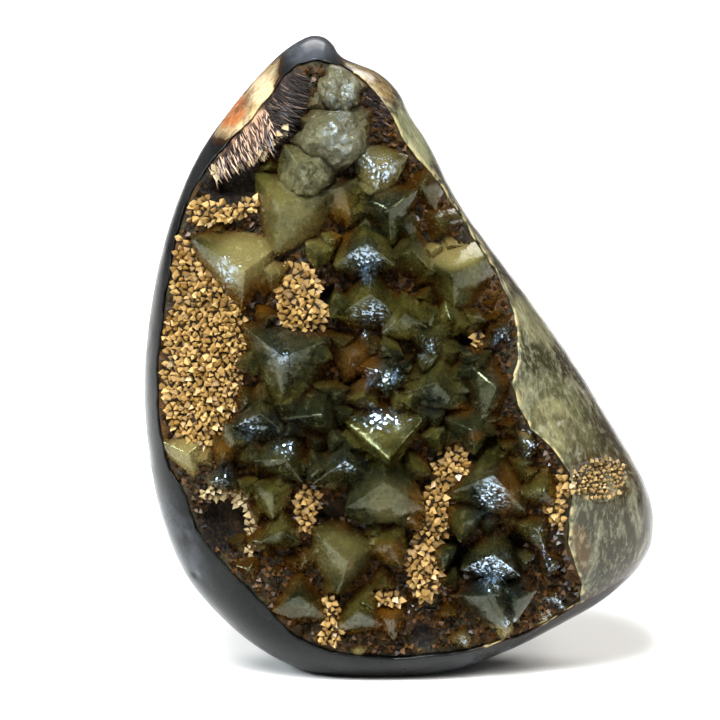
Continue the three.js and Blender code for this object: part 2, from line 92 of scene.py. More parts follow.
# The main calcite crystals: (tip u, tip v, tip over the polished face, foot u, foot v, radius, turn).
CRYSTALS = (
    (-9.2, 87.6, 0.3, -9.3, 87.4, 4.0, 10), (-9.2, 81.6, 0.9, -9.8, 80.4, 5.4, 35),
    (-14.6, 76.6, 0.6, -14.8, 75.6, 3.6, 5), (-17.6, 71.6, 0.6, -14.6, 69.4, 5.8, 15),
    (-8.6, 74.2, -0.4, -8.7, 67.6, 2.8, 50), (-3.2, 76.8, 0.4, -3.6, 75.4, 3.7, 22),
    (3.0, 73.8, 0.0, 2.6, 73.0, 3.9, 60), (-1.8, 70.8, -0.6, -2.2, 69.6, 4.3, 35),
    (-22.7, 61.8, 0.8, -24.4, 62.2, 6.4, 30), (-5.2, 66.0, 0.2, -5.6, 62.2, 4.2, 90),
    (1.6, 64.8, -0.8, 1.0, 62.0, 3.5, 80), (7.6, 61.4, 1.2, 8.0, 59.0, 6.4, 30),
    (5.6, 68.4, -0.6, 5.0, 67.8, 3.4, 10), (-4.6, 58.8, 0.4, -4.5, 54.6, 4.3, 88),
    (0.6, 55.6, -0.6, 0.2, 52.2, 3.3, 95), (4.2, 52.0, -0.8, 4.4, 50.6, 3.1, 40),
    (-17.2, 49.6, 1.4, -15.8, 47.4, 7.1, 24), (-11.6, 41.0, -0.4, -13.6, 40.2, 4.4, 70),
    (-20.6, 41.0, -0.6, -20.8, 38.4, 4.8, 85), (-7.4, 49.2, -1.4, -7.0, 48.0, 3.2, 15),
    (-3.0, 47.2, -1.0, -2.8, 46.2, 3.3, 45), (-1.9, 34.6, 1.2, -2.8, 39.4, 6.0, 32),
    (5.0, 45.6, -0.8, 5.2, 42.8, 3.9, 75), (13.8, 44.8, 0.2, 11.4, 43.4, 4.7, 15),
    (15.0, 53.0, -0.4, 14.8, 51.0, 3.2, 60), (10.2, 38.6, -1.2, 9.8, 38.2, 3.3, 40),
    (13.4, 32.2, 0.9, 12.8, 28.4, 6.0, 78), (18.8, 36.6, -0.6, 18.6, 35.2, 2.4, 20),
    (-8.2, 34.2, 0.2, -8.2, 31.4, 4.6, 92), (-2.5, 31.4, 1.3, -2.3, 26.8, 5.4, 90),
    (-7.8, 19.4, 0.7, -9.2, 19.4, 4.9, 20), (-1.6, 21.4, -0.6, -1.8, 20.0, 3.0, 55),
    (-17.6, 23.4, -0.8, -17.8, 21.6, 2.8, 88), (-18.8, 28.8, -0.8, -19.0, 27.2, 2.9, 30),
    (-17.0, 34.2, -1.2, -17.4, 33.2, 3.6, 65), (-31.2, 34.6, -0.2, -31.2, 33.6, 3.9, 40),
    (-25.8, 35.0, -1.0, -25.8, 34.4, 2.5, 10), (-26.0, 30.8, -1.2, -25.8, 30.4, 3.3, 75),
    (-22.4, 17.4, -0.8, -22.6, 16.8, 3.6, 50), (13.6, 20.0, 0.5, 13.4, 17.4, 4.2, 84),
    (12.6, 13.6, 0.2, 13.0, 11.6, 4.8, 60), (17.2, 12.6, 0.0, 16.8, 12.0, 2.8, 25),
    (22.8, 12.6, -0.6, 22.6, 12.2, 2.6, 70), (26.6, 14.2, -0.6, 26.2, 14.0, 2.3, 35),
    (22.4, 18.2, -0.8, 22.2, 17.8, 2.4, 10), (20.0, 23.6, -0.8, 20.0, 22.8, 3.2, 50),
    (20.8, 29.4, -0.6, 20.8, 28.8, 3.4, 75), (-15.0, 13.6, 0.2, -15.3, 10.8, 4.4, 86),
    (-6.2, 11.4, 0.4, -6.0, 8.6, 4.0, 94), (-1.6, 9.8, -0.6, -1.6, 8.6, 2.8, 40),
    (-6.4, 4.6, -0.4, -6.4, 4.8, 2.6, 15), (8.8, 6.6, -0.4, 8.8, 6.8, 2.8, 65),
    (15.2, 7.6, -0.3, 15.0, 8.0, 2.6, 30), (21.2, 9.4, -0.3, 21.0, 9.8, 2.4, 5),
    (-21.6, 12.2, -0.6, -21.0, 12.6, 2.6, 45), (9.2, 24.6, -1.6, 9.4, 24.2, 2.6, 20),
)

# Rounded sandy lumps at the top: (u, v, half width, half height, rise over the polished face).
LUMPS = ((-9.2, 87.4, 3.6, 4.4, 0.4), (-9.9, 80.6, 5.3, 4.3, 1.0), (-13.2, 75.4, 3.8, 3.4, 0.5))

# The two sizes of crystal between the main ones: how many are tried, their radii, how far their tips lie under
# the polished face, how much of a mound or pocket they may stand on, and how near a main one they may come.
FILLER_COUNT, FILLER_RADIUS, FILLER_DROP, FILLER_LIMITS = 100, (2.0, 3.0), (1.6, 3.6), (0.3, 0.62)
TINY_COUNT, TINY_RADIUS, TINY_DROP, TINY_LIMITS = 220, (1.5, 2.7), (1.4, 3.6), (0.45, 0.6)
FILLER_LEAN, TINY_SEED, GOLDEN_ANGLE = 1.6, 900, math.pi * (3 - math.sqrt(5))

# How much wider the main crystals are than listed. For each crystal: its wide and narrow corners, the drop
# from tip to shoulder in radii, the most that this may be of its height, how much wider its foot is, and how
# deep it stands in the lining.
MAIN_SPREAD, CORNER_REACH, TIP_STEEPNESS = 1.16, (1.08, 0.84), (0.68, 1.08)
TIP_LIMIT, PRISM_TAPER, FOOT_DEPTH = 0.45, 1.12, 7.0

# How finely the shapes are cut, how deep and knobbly a lump is, how near points are joined, from what angle in
# degrees an edge is sharp, and how high the hollow's cutter stands.
STONE_SPOKES, BACK_ROWS, FRONT_ROWS, FLOOR_ROWS = 720, 44, 40, 20
LINING_SPOKES, LINING_ROWS, CUTTER_SPOKES, CUTTER_ROWS = 640, 130, 256, 24
MAIN_RINGS, MAIN_STEPS = (1.0, 0.94, 0.8, 0.6, 0.4, 0.2), 8
FILLER_RINGS, FILLER_STEPS = (1.0, 0.85, 0.5), 4
TINY_RINGS, TINY_STEPS = (1.0, 0.7), 3
LUMP_ROWS, LUMP_SPOKES, LUMP_DEPTH, LUMP_KNOBS = 40, 64, 6.5, 0.26
JOIN_STEP, SHARP_ANGLE, OPEN_TOP = 1e-4, 24, 60.0

# How far the crystals' edges are worn back, and how much their faces roll and swell.
MAIN_WEAR, FILLER_WEAR, TINY_WEAR = (0.10, 0.22, 0.28), (0.05, 0.12, 0.12), (0.03, 0.08, 0.06)

# The polish: the lip's radius, the waves, and how far the surface lies inside the solid. The gaps and overlap
# at the hollow's floor and wall. The turns of the lip, the steps of the wall and the rows under the lining.
LIP_RADIUS, POLISH_WAVE, SKIN = 0.25, 0.10, 0.17
FLOOR_GAP, WALL_GAP, CRYSTAL_GAP, CRYSTAL_SINK = 0.2, 0.03, 0.12, 0.4
LIP_TURNS, WALL_STEPS, UNDERSIDE_SHARES = (22, 45, 67, 90), (0.15, 0.35, 0.6, 1.0), (0.97, 0.7, 0.35)

# How far the streaks of the cut calcite lean on the face.
STREAK_TURN = math.radians(35)

# The druse's grains: their spacing, radii, heights and lean, in the hollow and in the dip of the right edge.
# How much lower the dark ones are, and the steps that give the slope under the grains.
GRAIN_SPACING, GRAIN_RADIUS, GRAIN_HEIGHT, GRAIN_LEAN = 0.84, (0.40, 0.64), (0.60, 1.40), 1.0
EDGE_SPACING, EDGE_RADIUS, EDGE_HEIGHT, EDGE_LEAN = GRAIN_SPACING * 0.8, (0.26, 0.44), (0.20, 0.75), 0.5
DARK_HEIGHT, DRUSE_STEP, EDGE_STEP = 0.7, 0.15, 0.2

# A grain's low and high shoulders under its tip and their reach, in radii, the depth and share of its base,
# and how high up its tip, its six shoulder corners and its six base corners count.
GRAIN_SHOULDERS, GRAIN_REACH, GRAIN_FOOT, GRAIN_TAPER = (1.9, 1.5), (0.72, 1.1), 0.5, 0.8
GRAIN_LEVELS = (1.0,) + 6 * (0.75,) + 6 * (0.0,)

# The fibres: their spacing, lengths, half widths and lift, and where the pink and the dark ones head.
FIBRE_SPACING, FIBRE_LENGTH, FIBRE_WIDTH, FIBRE_LIFT = 0.44, (1.2, 3.0), (0.07, 0.15), (0.0, 0.30)
PINK_HEADING, DARK_HEADING, HEADING_SPREAD = math.radians(-62), math.radians(-25), 0.5

# Cut calcite that is too fibrous to take a full polish: (u, v, half width, half height, turn).
SLABS = ((22.6, 38.6, 5.0, 8.0, 36), (31.0, 22.6, 4.6, 4.6, 0), (26.6, 14.6, 3.6, 2.6, 20))

# How deep the growth lines of such a slab are, and how far the slab sinks.
SLAB_RELIEF, SLAB_SINK = 0.28, 0.16

# Small pits in the polish, and one at the very top of the rim: (u, v, size, depth).
EDGE_CHIPS = (
    (-31.8, 21.9, 0.6, 0.5), (-30.9, 23.7, 0.5, 0.4), (-30.5, 15.6, 0.6, 0.5), (-10.0, 92.4, 1.2, 1.0),
    (30.6, 34.4, 0.7, 0.5), (28.6, 35.2, 0.5, 0.4), (5.6, 76.0, 0.8, 0.3), (17.6, 57.8, 0.8, 0.3),
)

# The cut calcite ends along a slope through this point, low on the right.
CALCITE_FOOT = (26.0, 11.0)

# The calcite that the polish cut through on the front, left and right: (zone, share, colour).
LEFT_TINTS = (
    ((-22.8, 86.4, 8.6, 3.2, 52, 0), 0.95, "8f7452"), ((-25.2, 84.4, 3.2, 2.2, 50, 0), 1.0, "94552a"),
    ((-20.4, 87.6, 2.2, 2.4, -30, 0), 0.9, "bfa27e"),
)
RIGHT_TINTS = (
    ((-4.6, 88.6, 4.8, 2.2, -42, 0), 0.9, "6a5026"), ((1.4, 80.6, 3.2, 5.2, 25, 0), 0.8, "7b7b58"),
    ((8.6, 68.6, 2.2, 7.4, 33, 0), 0.7, "23210f"), ((23.0, 39.4, 4.6, 9.0, 36, 0), 0.95, "4a482f"),
    ((22.6, 39.2, 2.4, 4.2, 30, 0), 0.8, "726d4c"), ((29.6, 31.0, 6.4, 3.8, -10, 0), 0.9, "33250f"),
    ((31.8, 22.4, 6.0, 5.4, 0, 0), 0.9, "2b2712"), ((26.6, 20.6, 1.4, 4.4, 10, 0), 0.5, "5c4016"),
    ((20.0, 53.0, 2.2, 5.0, 38, 0), 0.6, "7b7657"),
)

# Painted sheen: paler, bluish-grey painted highlights on the polished slate, as (u, v, half width, half
# height, turn, share).
PAINTED_SHEEN_SPOTS = (
    (-13.6, 93.8, 5.0, 2.2, 8, 0.8), (17.0, 2.4, 16.0, 2.2, 14, 0.9), (-33.0, 20.0, 3.0, 9.0, 24, 0.6),
)

# Spots of the crystals: amber glow, partly the crystals' amber colour and partly painted glow of light shining
# through them; pale, sandy, dark and glinting: (u, v, half width, half height, turn, share).
AMBER_GLOW_SPOTS = (
    (-6.2, 47.6, 3.4, 4.0, 0, 1), (8.9, 41.4, 1.6, 1.2, 0, 1), (11.0, 37.4, 1.3, 1.0, 0, 1),
    (15.2, 29.0, 2.4, 4.4, 0, 1), (-1.7, 20.0, 3.0, 2.2, 0, 1), (-1.7, 9.8, 2.4, 2.8, 0, 1),
    (-21.0, 57.5, 3.0, 3.4, 0, 1), (-8.7, 69.5, 1.8, 5.0, 0, 1), (-26.1, 35.0, 2.0, 1.8, 0, 1),
    (20.7, 19.9, 1.2, 1.2, 0, 1), (-29.5, 48.0, 1.6, 1.6, 0, 1), (2.2, 26.0, 1.6, 4.4, 0, 1),
)
PALE_SPOTS = (
    (-9.3, 87.6, 4.2, 4.2, 0, 1), (-9.6, 81.0, 6.2, 4.4, 0, 1), (-16.0, 69.5, 5.4, 6.0, 0, 0.6),
    (-22.7, 63.0, 5.4, 4.4, 0, 1), (-3.6, 76.0, 3.2, 3.2, 0, 1), (-31.5, 33.4, 3.8, 4.2, 0, 1),
    (7.6, 64.0, 4.6, 2.4, 0, 1), (-2.0, 27.5, 2.8, 3.8, 0, 0.5), (-9.5, 19.4, 4.2, 4.0, 0, 0.45),
    (-6.4, 3.8, 3.2, 1.8, 0, 1), (15.7, 7.0, 11.0, 2.0, 14, 1), (18.2, 42.0, 1.2, 6.0, 0, 1),
)
SANDY_SPOTS = (
    (-9.3, 87.2, 4.6, 5.0, 0, 1), (-10.2, 80.0, 6.4, 4.8, 0, 1), (-13.4, 75.2, 4.2, 3.6, 0, 0.8),
)
DARK_SPOTS = (
    (-5.4, 63.3, 2.8, 3.3, 0, 1), (-20.4, 38.6, 4.5, 2.8, 0, 1), (-16.4, 50.0, 5.6, 5.0, 0, 0.9),
    (5.0, 42.4, 2.6, 3.4, 0, 1), (15.6, 50.8, 2.4, 2.8, 0, 1), (-2.7, 46.1, 2.8, 1.6, 0, 1),
    (13.0, 27.7, 4.0, 5.4, 0, 1), (13.7, 14.0, 5.0, 6.4, 0, 1), (-26.3, 31.0, 2.7, 2.2, 0, 1),
)
GLINT_SPOTS = (
    (-25.6, 61.2, 1.8, 2.2, 0, 0.5), (-3.6, 76.6, 2.6, 2.4, 0, 0.8), (-4.4, 54.8, 2.4, 2.6, 0, 0.6),
    (-22.0, 38.4, 1.8, 1.6, 0, 0.6), (-16.9, 35.8, 2.0, 0.9, 0, 0.6), (-8.0, 33.8, 2.6, 1.2, 0, 0.6),
    (-2.9, 40.2, 3.0, 1.4, 0, 0.7), (13.2, 28.6, 1.9, 3.0, 0, 1), (13.6, 17.4, 3.4, 2.8, 0, 1),
    (-5.4, 62.8, 2.4, 2.8, 0, 0.7), (22.8, 11.0, 2.4, 1.8, 0, 0.8), (3.6, 50.4, 1.8, 1.8, 0, 0.5),
    (-2.7, 46.1, 2.6, 1.5, 0, 1), (15.6, 50.8, 2.2, 2.4, 0, 0.5), (18.9, 35.8, 1.6, 2.2, 0, 0.7),
    (-26.3, 31.0, 2.2, 1.8, 0, 0.3), (16.2, 9.0, 1.2, 0.8, 0, 0.8), (9.6, 5.8, 1.0, 0.9, 0, 0.8),
    (-17.4, 51.0, 1.6, 2.6, 0, 0.45), (22.0, 21.0, 3.0, 5.0, 0, 0.35), (-8.6, 84.0, 3.4, 6.0, 0, 0.22),
)
CRYSTAL_SPOTS = {
    "amber_glow": AMBER_GLOW_SPOTS, "pale": PALE_SPOTS, "sandy": SANDY_SPOTS, "dark": DARK_SPOTS, "glint": GLINT_SPOTS,
}

# The shade under the fibres' fringe, and a small cavity with dark fibres on the right shoulder.
UNDER_FRINGE = (-23.0, 75.2, 6.6, 4.0, 20, 0)
FIBRE_CAVITY = (-4.0, 86.0, 1.9, 3.8, -18, 0)

# The pale fringe round the lower left pocket, and small patches of druse beside the mounds.
PALE_FRINGE = (
    (-28.5, 28.4), (-27.2, 28.4), (-25.9, 28.4), (-24.6, 28.2), (-23.6, 27.4), (-23.4, 26.2), (-23.7, 24.9),
    (-22.6, 24.0), (-22.3, 22.8), (-22.6, 21.6), (-22.3, 19.9),
)
MORE_DRUSE = (
    (-31.6, 60.0, 3.0, 6.0, 8, 0), (-30.6, 40.0, 3.4, 3.6, 0, 0), (9.6, 30.6, 1.6, 1.8, 0, 0),
    (23.4, 27.0, 2.2, 4.0, 0, 0), (-16.8, 59.6, 2.0, 2.8, 0, 0),
)

# The camera and the light, in metres, degrees and watts. A lamp: (name, place, aim, size, power, colour).
CAMERA_TARGET, CAMERA_ELEVATION = (-0.0059, 0.0, 0.0466), 10
CAMERA_DISTANCE, CAMERA_LENS = 0.62, 206.7
STONE_MIDDLE, FLOOR_REACH = (0, 0, 0.045), 3000.0
COOL, WARM, WHITE = (0.84, 0.93, 1.0), (1.0, 0.97, 0.92), (1.0, 1.0, 1.0)
LAMPS = (
    ("overhead", (-0.06, -0.30, 0.52), STONE_MIDDLE, 0.20, 5.2, COOL),
    ("key", (0.40, -0.24, 0.42), STONE_MIDDLE, 0.16, 1.5, WARM),
    ("fill", (-0.45, -0.14, 0.28), STONE_MIDDLE, 0.14, 2.4, COOL),
    ("backdrop", (0, 1.3, 1.1), (0, 1.1, 0), 1.2, 22, WHITE),
)
DAYLIGHT, DAYLIGHT_SPREAD, DAYLIGHT_TURN = 2.7, 24, (40, 0, -18)
BACKDROP_LIGHT, ROOM_LIGHT = 1.0, 0.16


# Helpers on whole arrays

def chance(index, channel):
    """A repeatable number from 0 to 1 for each index and channel: the fraction of a large sine."""
    value = np.sin(index * 12.9898 + channel * 78.233) * 43758.5453
    return value - np.floor(value)


def between(limits, share):
    """A value that share of the way from the first limit to the second."""
    return limits[0] + (limits[1] - limits[0]) * share


def unit(vectors):
    """Each vector divided by its own length."""
    return vectors / np.linalg.norm(vectors, axis=-1, keepdims=True)


def smooth(low, high, value):
    """0 below low, 1 above high, and an S-shaped rise between them."""
    t = np.clip((value - low) / (high - low), 0, 1)
    return t * t * (3 - 2 * t)


def noise(points, size, seed=0, octaves=1):
    """Value noise from -1 to 1: a random number on each lattice point, blended between them."""
    total, weight = np.zeros(points.shape[:-1]), 0.0
    for octave in range(octaves):
        p = points * (2.0 ** octave / size) + seed * 17.3
        cell = np.floor(p)
        t = p - cell
        t = t * t * (3 - 2 * t)
        value = 0
        for corner in np.ndindex(2, 2, 2):
            spot = (cell + corner) @ np.array([127.1, 311.7, 74.7]) + octave * 19.1
            lattice = np.sin(spot) * 43758.5453
            share = np.prod(np.where(np.array(corner) == 1, t, 1 - t), axis=-1)
            value = value + share * (lattice - np.floor(lattice))
        total += (value * 2 - 1) * 0.5 ** octave
        weight += 0.5 ** octave
    return total / weight


def closed_spline(points, steps=12):
    """A Catmull-Rom curve through a closed row of points: cubic between each two of them."""
    p1 = np.array(points)[:, None, :]
    p0, p2, p3 = np.roll(p1, 1, 0), np.roll(p1, -1, 0), np.roll(p1, -2, 0)
    t = (np.arange(steps) / steps)[None, :, None]
    curve = 2 * p1 + (p2 - p0) * t + (2 * p0 - 5 * p1 + 4 * p2 - p3) * t ** 2
    return ((curve + (3 * p1 - p0 - 3 * p2 + p3) * t ** 3) / 2).reshape(-1, 2)


def radius_table(points):
    """The angle and distance of each point from the face's centre, in order of angle."""
    across, up = (np.array(points) - FACE_CENTRE).T
    angle, radius = np.arctan2(up, across), np.hypot(across, up)
    order = np.argsort(angle)
    return angle[order], radius[order]


STONE_TABLE = radius_table(closed_spline(STONE_OUTLINE))
RIM_TABLE = radius_table(HOLLOW_RIM)


def stone_radius(angle):
    """How far the outline reaches from the face's centre, read between the table's angles."""
    return np.interp(angle, *STONE_TABLE, period=2 * math.pi)


def rim_radius(angle):
    """How far the hollow's rim reaches from the face's centre, read between the table's angles."""
    return np.interp(angle, *RIM_TABLE, period=2 * math.pi)


def pillow(share, depth, rounding):
    """Full depth at the face's centre and none at the outline."""
    return depth * (1 - np.minimum(share, 1) ** rounding) ** (1 / rounding)


def polar(u, v):
    """Angle and distance from the face's centre."""
    across, up = u - FACE_CENTRE[0], v - FACE_CENTRE[1]
    return np.arctan2(up, across), np.hypot(across, up)


def from_centre(angle, reach):
    """The u and v at that angle and distance from the face's centre."""
    return FACE_CENTRE[0] + reach * np.cos(angle), FACE_CENTRE[1] + reach * np.sin(angle)


def spoke_angles(count):
    """Equal steps of angle once round, from minus half a turn."""
    return -math.pi + 2 * math.pi * np.arange(count) / count


def polished_front(u, v):
    """The height of the polished front: the pillow at that share of the way to the outline."""
    angle, radius = polar(u, v)
    return pillow(radius / stone_radius(angle), FRONT_DEPTH, FRONT_ROUNDING)


def blob(u, v, zone):
    """1 in the middle of an ellipse on the face, fading past its edge."""
    turn = math.radians(zone[4])
    across = (u - zone[0]) * math.cos(turn) + (v - zone[1]) * math.sin(turn)
    up = (v - zone[1]) * math.cos(turn) - (u - zone[0]) * math.sin(turn)
    return np.exp(-(((across / zone[2]) ** 2 + (up / zone[3]) ** 2) ** 2))


def any_blob(u, v, zones):
    """The strongest of several zones at each point."""
    return np.max([blob(u, v, zone) for zone in zones], axis=0)


def share_of(u, v, zones):
    """The strongest of several zones at each point, each times its own share."""
    return np.max([zone[5] * blob(u, v, zone) for zone in zones], axis=0)


def lining_top(u, v):
    """The lining's height: a step at the rim, a steep wall, a dished floor, pockets and mounds."""
    angle, radius = polar(u, v)
    share = np.minimum(radius / rim_radius(angle), 1)
    dish = RIM_STEP + HOLLOW_DEPTH * (1 - share ** WALL_STEEPNESS)
    raised = sum(zone[5] * blob(u, v, zone) for zone in DRUSE_MOUNDS + FIBRE_LEDGES)
    pockets = sum(zone[5] * blob(u, v, zone) for zone in POCKETS)
    return polished_front(u, v) - dish - (pockets - raised) * (1 - share ** (2 * WALL_STEEPNESS))


def dip_depth(u, v, counts=True):
    """How far the right edge's dip sinks the front: none below a quarter of its zone, all above three."""
    return SIDE_DIP[5] * smooth(0.25, 0.75, np.where(counts, blob(u, v, SIDE_DIP), 0))


def place(u, v, w):
    """Points of the face's axes in the stone's frame, still in millimetres."""
    x = u + WIDTH_SHIFT
    y = v * math.sin(LEAN) - w * math.cos(LEAN) + DEPTH_SHIFT
    z = v * math.cos(LEAN) + w * math.sin(LEAN)
    return np.stack(np.broadcast_arrays(x, y, z), axis=-1)


def face_of(points):
    """The face's own u, v and w of points in the stone's frame."""
    x, y, z = points[..., 0] - WIDTH_SHIFT, points[..., 1] - DEPTH_SHIFT, points[..., 2]
    v = y * math.sin(LEAN) + z * math.cos(LEAN)
    w = z * math.sin(LEAN) - y * math.cos(LEAN)
    return x, v, w


# Meshes

def mesh_piece(name, points, faces, shaded_smooth=True, linked=True):
    """An object at the origin from points in millimetres and rows of corner numbers."""
    mesh = bpy.data.meshes.new(name)
    mesh.from_pydata((points * MM).tolist(), [], faces)
    mesh.polygons.foreach_set("use_smooth", np.full(len(mesh.polygons), shaded_smooth))
    mesh.update()
    piece = bpy.data.objects.new(name, mesh)
    if linked:
        bpy.context.scene.collection.objects.link(piece)
    return piece


def number_attribute(piece, name, values):
    """Gives each point of a piece a number that its finish reads."""
    attribute = piece.data.attributes.new(name, "FLOAT", "POINT")
    attribute.data.foreach_set("value", np.ascontiguousarray(values))


def colour_attribute(piece, name, colours):
    """Gives each point of a piece a colour that its finish reads."""
    rgba = np.concatenate([colours, np.ones((len(colours), 1))], axis=1)
    piece.data.attributes.new(name, "FLOAT_COLOR", "POINT").data.foreach_set("color", rgba.ravel())


def loop_faces(rows, spokes):
    """Corner numbers of a closed body: a pole, rows of points round it, and a pole."""
    spoke = np.arange(spokes)
    ahead = (spoke + 1) % spokes
    row = (1 + np.arange(rows - 1) * spokes)[:, None]
    quads = np.stack([row + spoke, row + spokes + spoke, row + spokes + ahead, row + ahead], axis=-1)
    last = 1 + (rows - 1) * spokes
    first_fan = np.stack([np.zeros(spokes, int), 1 + spoke, 1 + ahead], axis=-1)
    last_fan = np.stack([np.full(spokes, last + spokes), last + ahead, last + spoke], axis=-1)
    return first_fan.tolist() + quads.reshape(-1, 4).tolist() + last_fan.tolist()


def colour(text):
    """The linear value of a colour written as six hexadecimal digits."""
    share = np.array([int(text[start:start + 2], 16) / 255 for start in (0, 2, 4)])
    return np.where(share <= 0.04045, share / 12.92, ((share + 0.055) / 1.055) ** 2.4)


def paint(base, layers):
    """Lays colours over a base, each by a share from 0 to 1."""
    for share, text in layers:
        base = base + (colour(text) - base) * np.asarray(share)[:, None]
    return base


# Crystals

def crystal_corners(forms, first_index):
    """Each crystal's tip, six shoulder corners, six base corners and foot, as fourteen points. By turns the
    corners reach far out and less far. The latter lie lower, on the planes of the pyramid's three faces."""
    forms = np.array(forms)
    tip_u, tip_v, rise, foot_u, foot_v, radius, turn = forms.T
    tip = place(tip_u, tip_v, polished_front(tip_u, tip_v) + rise)
    foot = place(foot_u, foot_v, lining_top(foot_u, foot_v) - FOOT_DEPTH)
    height = np.linalg.norm(tip - foot, axis=1)
    axis = unit(tip - foot)
    side = unit(np.array([1.0, 0, 0]) - axis * axis[:, :1])
    up = np.cross(axis, side)
    index = first_index + np.arange(len(forms))
    drop = np.minimum(between(TIP_STEEPNESS, chance(index, 6)) * radius, height * TIP_LIMIT)
    corner = np.arange(6)
    angle = np.radians(turn)[:, None] + corner * math.pi / 3
    outwards = side[:, None] * np.cos(angle)[..., None] + up[:, None] * np.sin(angle)[..., None]
    level = height[:, None] - drop[:, None] * np.where(corner % 2, 2 * CORNER_REACH[1] / CORNER_REACH[0], 1)
    outwards = outwards * np.where(corner % 2, CORNER_REACH[1], CORNER_REACH[0])[:, None]
    shoulder = foot[:, None] + axis[:, None] * level[..., None] + outwards * radius[:, None, None]
    base = foot[:, None] + outwards * (radius * PRISM_TAPER)[:, None, None]
    return np.concatenate([tip[:, None], shoulder, base, foot[:, None]], axis=1)


TIP_FACES = np.array([[0, 1 + k, 2 + k, 1 + (k + 2) % 6] for k in (0, 2, 4)])
SIDE_FACES = np.array([[1 + k, 7 + k, 7 + (k + 1) % 6, 1 + (k + 1) % 6] for k in range(6)])


def filler_forms(count, seed, radii, drops, limits):
    """Small crystals on a sunflower spiral inside the rim, clear of the druse and the pockets."""
    limit, near = limits
    index = np.arange(1, count + 1) + seed
    angle = np.arctan2(np.sin(index * GOLDEN_ANGLE), np.cos(index * GOLDEN_ANGLE))
    reach = 0.95 * np.sqrt((index - seed) / count) * rim_radius(angle)
    u, v = from_centre(angle, reach)
    free = any_blob(u, v, DRUSE_MOUNDS + POCKETS + FIBRE_LEDGES) <= limit
    feet = np.array([(form[3], form[4], form[5]) for form in CRYSTALS])
    distance = np.hypot(u[:, None] - feet[:, 0], v[:, None] - feet[:, 1])
    free &= ~np.any(distance < near * feet[:, 2], axis=1)
    tip_u = u + FILLER_LEAN * (chance(index, 1) - 0.5)
    tip_v = v + FILLER_LEAN * (chance(index, 2) - 0.5)
    rise = -between(drops, chance(index, 3))
    radius, turn = between(radii, chance(index, 4)), 120 * chance(index, 5)
    return np.stack([tip_u, tip_v, rise, u, v, radius, turn], axis=1)[free]


def facet_grid(corners, faces, rings, steps):
    """Each four-sided face as rings of points that shrink towards its middle."""
    quad = corners[faces]
    along = (np.arange(steps) / steps)[None, None, :, None]
    edge = (quad[:, :, None] * (1 - along) + np.roll(quad, -1, axis=1)[:, :, None] * along)
    edge = edge.reshape(len(faces), 4 * steps, 3)
    middle = quad.mean(axis=1, keepdims=True)
    shares = np.array(rings)[None, :, None, None]
    points = middle[:, None] + shares * (edge - middle)[:, None]
    points = np.concatenate([points.reshape(len(faces), -1, 3), middle], axis=1)
    around = np.arange(4 * steps)
    ahead = (around + 1) % (4 * steps)
    ring = (np.arange(len(rings) - 1) * 4 * steps)[:, None]
    inner = ring + 4 * steps
    quads = np.stack([ring + around, ring + ahead, inner + ahead, inner + around], axis=-1)
    last = (len(rings) - 1) * 4 * steps
    fan = np.stack([last + around, last + ahead, np.full(4 * steps, 4 * steps * len(rings))], axis=-1)
    start = (np.arange(len(faces)) * (4 * steps * len(rings) + 1))[:, None, None]
    quads = (start + quads.reshape(1, -1, 4)).reshape(-1, 4)
    fans = (start + fan[None]).reshape(-1, 3)
    return points.reshape(-1, 3), quads, fans


def crystal_mesh(corners, rings, steps, wear, relief, swell):
    """One crystal: grids on its faces and a flat base, joined where they meet. Its edges are worn back
    towards its middle, its faces swell a little away from it, and value noise lifts and sinks them."""
    faces = np.concatenate([TIP_FACES, SIDE_FACES])
    points, quads, fans = facet_grid(corners, faces, rings, steps)
    along = (np.arange(steps) / steps)[None, :, None]
    base = corners[7:13]
    base_edge = (base[:, None] * (1 - along) + np.roll(base, -1, axis=0)[:, None] * along).reshape(-1, 3)
    points = np.concatenate([points, base_edge])
    rounded = np.round(points / JOIN_STEP)
    _, first, joined = np.unique(rounded, axis=0, return_index=True, return_inverse=True)
    joined = joined.ravel()
    ring_points = 4 * steps
    grid_points = ring_points * len(rings) + 1
    on_edge = np.zeros(len(points), bool)
    on_edge[:len(faces) * grid_points] = np.arange(len(faces) * grid_points) % grid_points < ring_points
    on_edge[len(faces) * grid_points:] = True
    bulge = np.zeros(len(points))
    ring_share = np.append(np.repeat(rings, ring_points), 0)
    bulge[:len(faces) * grid_points] = np.tile(1 - ring_share ** 2, len(faces))
    points, on_edge, bulge = points[first], on_edge[first], bulge[first]
    middle = corners[0:7].mean(axis=0)
    inwards = unit(middle - points)
    lift = relief * (0.85 * noise(points, 3.4, 3) + 0.15 * noise(points, 1.0, 5))
    points = points + inwards * (wear * on_edge - lift - swell * bulge)[:, None]
    underside = joined[len(faces) * grid_points:][::-1]
    return points, joined[quads].tolist() + joined[fans].tolist() + [underside.tolist()]


def lump_mesh(lump):
    """A ball drawn out to an ellipsoid, knobbly with value noise. Its middle lies in the crust."""
    u, v, half_width, half_height, rise = lump
    half_sizes = (half_width, half_height, LUMP_DEPTH)
    turn = np.linspace(0, math.pi, LUMP_ROWS + 2)[1:-1, None]
    around = 2 * math.pi * np.arange(LUMP_SPOKES)[None] / LUMP_SPOKES
    across, up = np.sin(turn) * np.cos(around), np.sin(turn) * np.sin(around)
    ball = np.stack([across, up, np.cos(turn) + 0 * around], -1)
    ball = np.concatenate([[[0, 0, 1.0]], ball.reshape(-1, 3), [[0, 0, -1.0]]])
    ball = ball * (1 + LUMP_KNOBS * noise(ball * 3 + u, 1.3, 2, 4))[:, None] * half_sizes
    top = polished_front(np.array([u]), np.array([v]))[0] + rise
    points = place(u + ball[:, 0], v + ball[:, 1], top - LUMP_DEPTH + ball[:, 2])
    return points, loop_faces(LUMP_ROWS, LUMP_SPOKES)


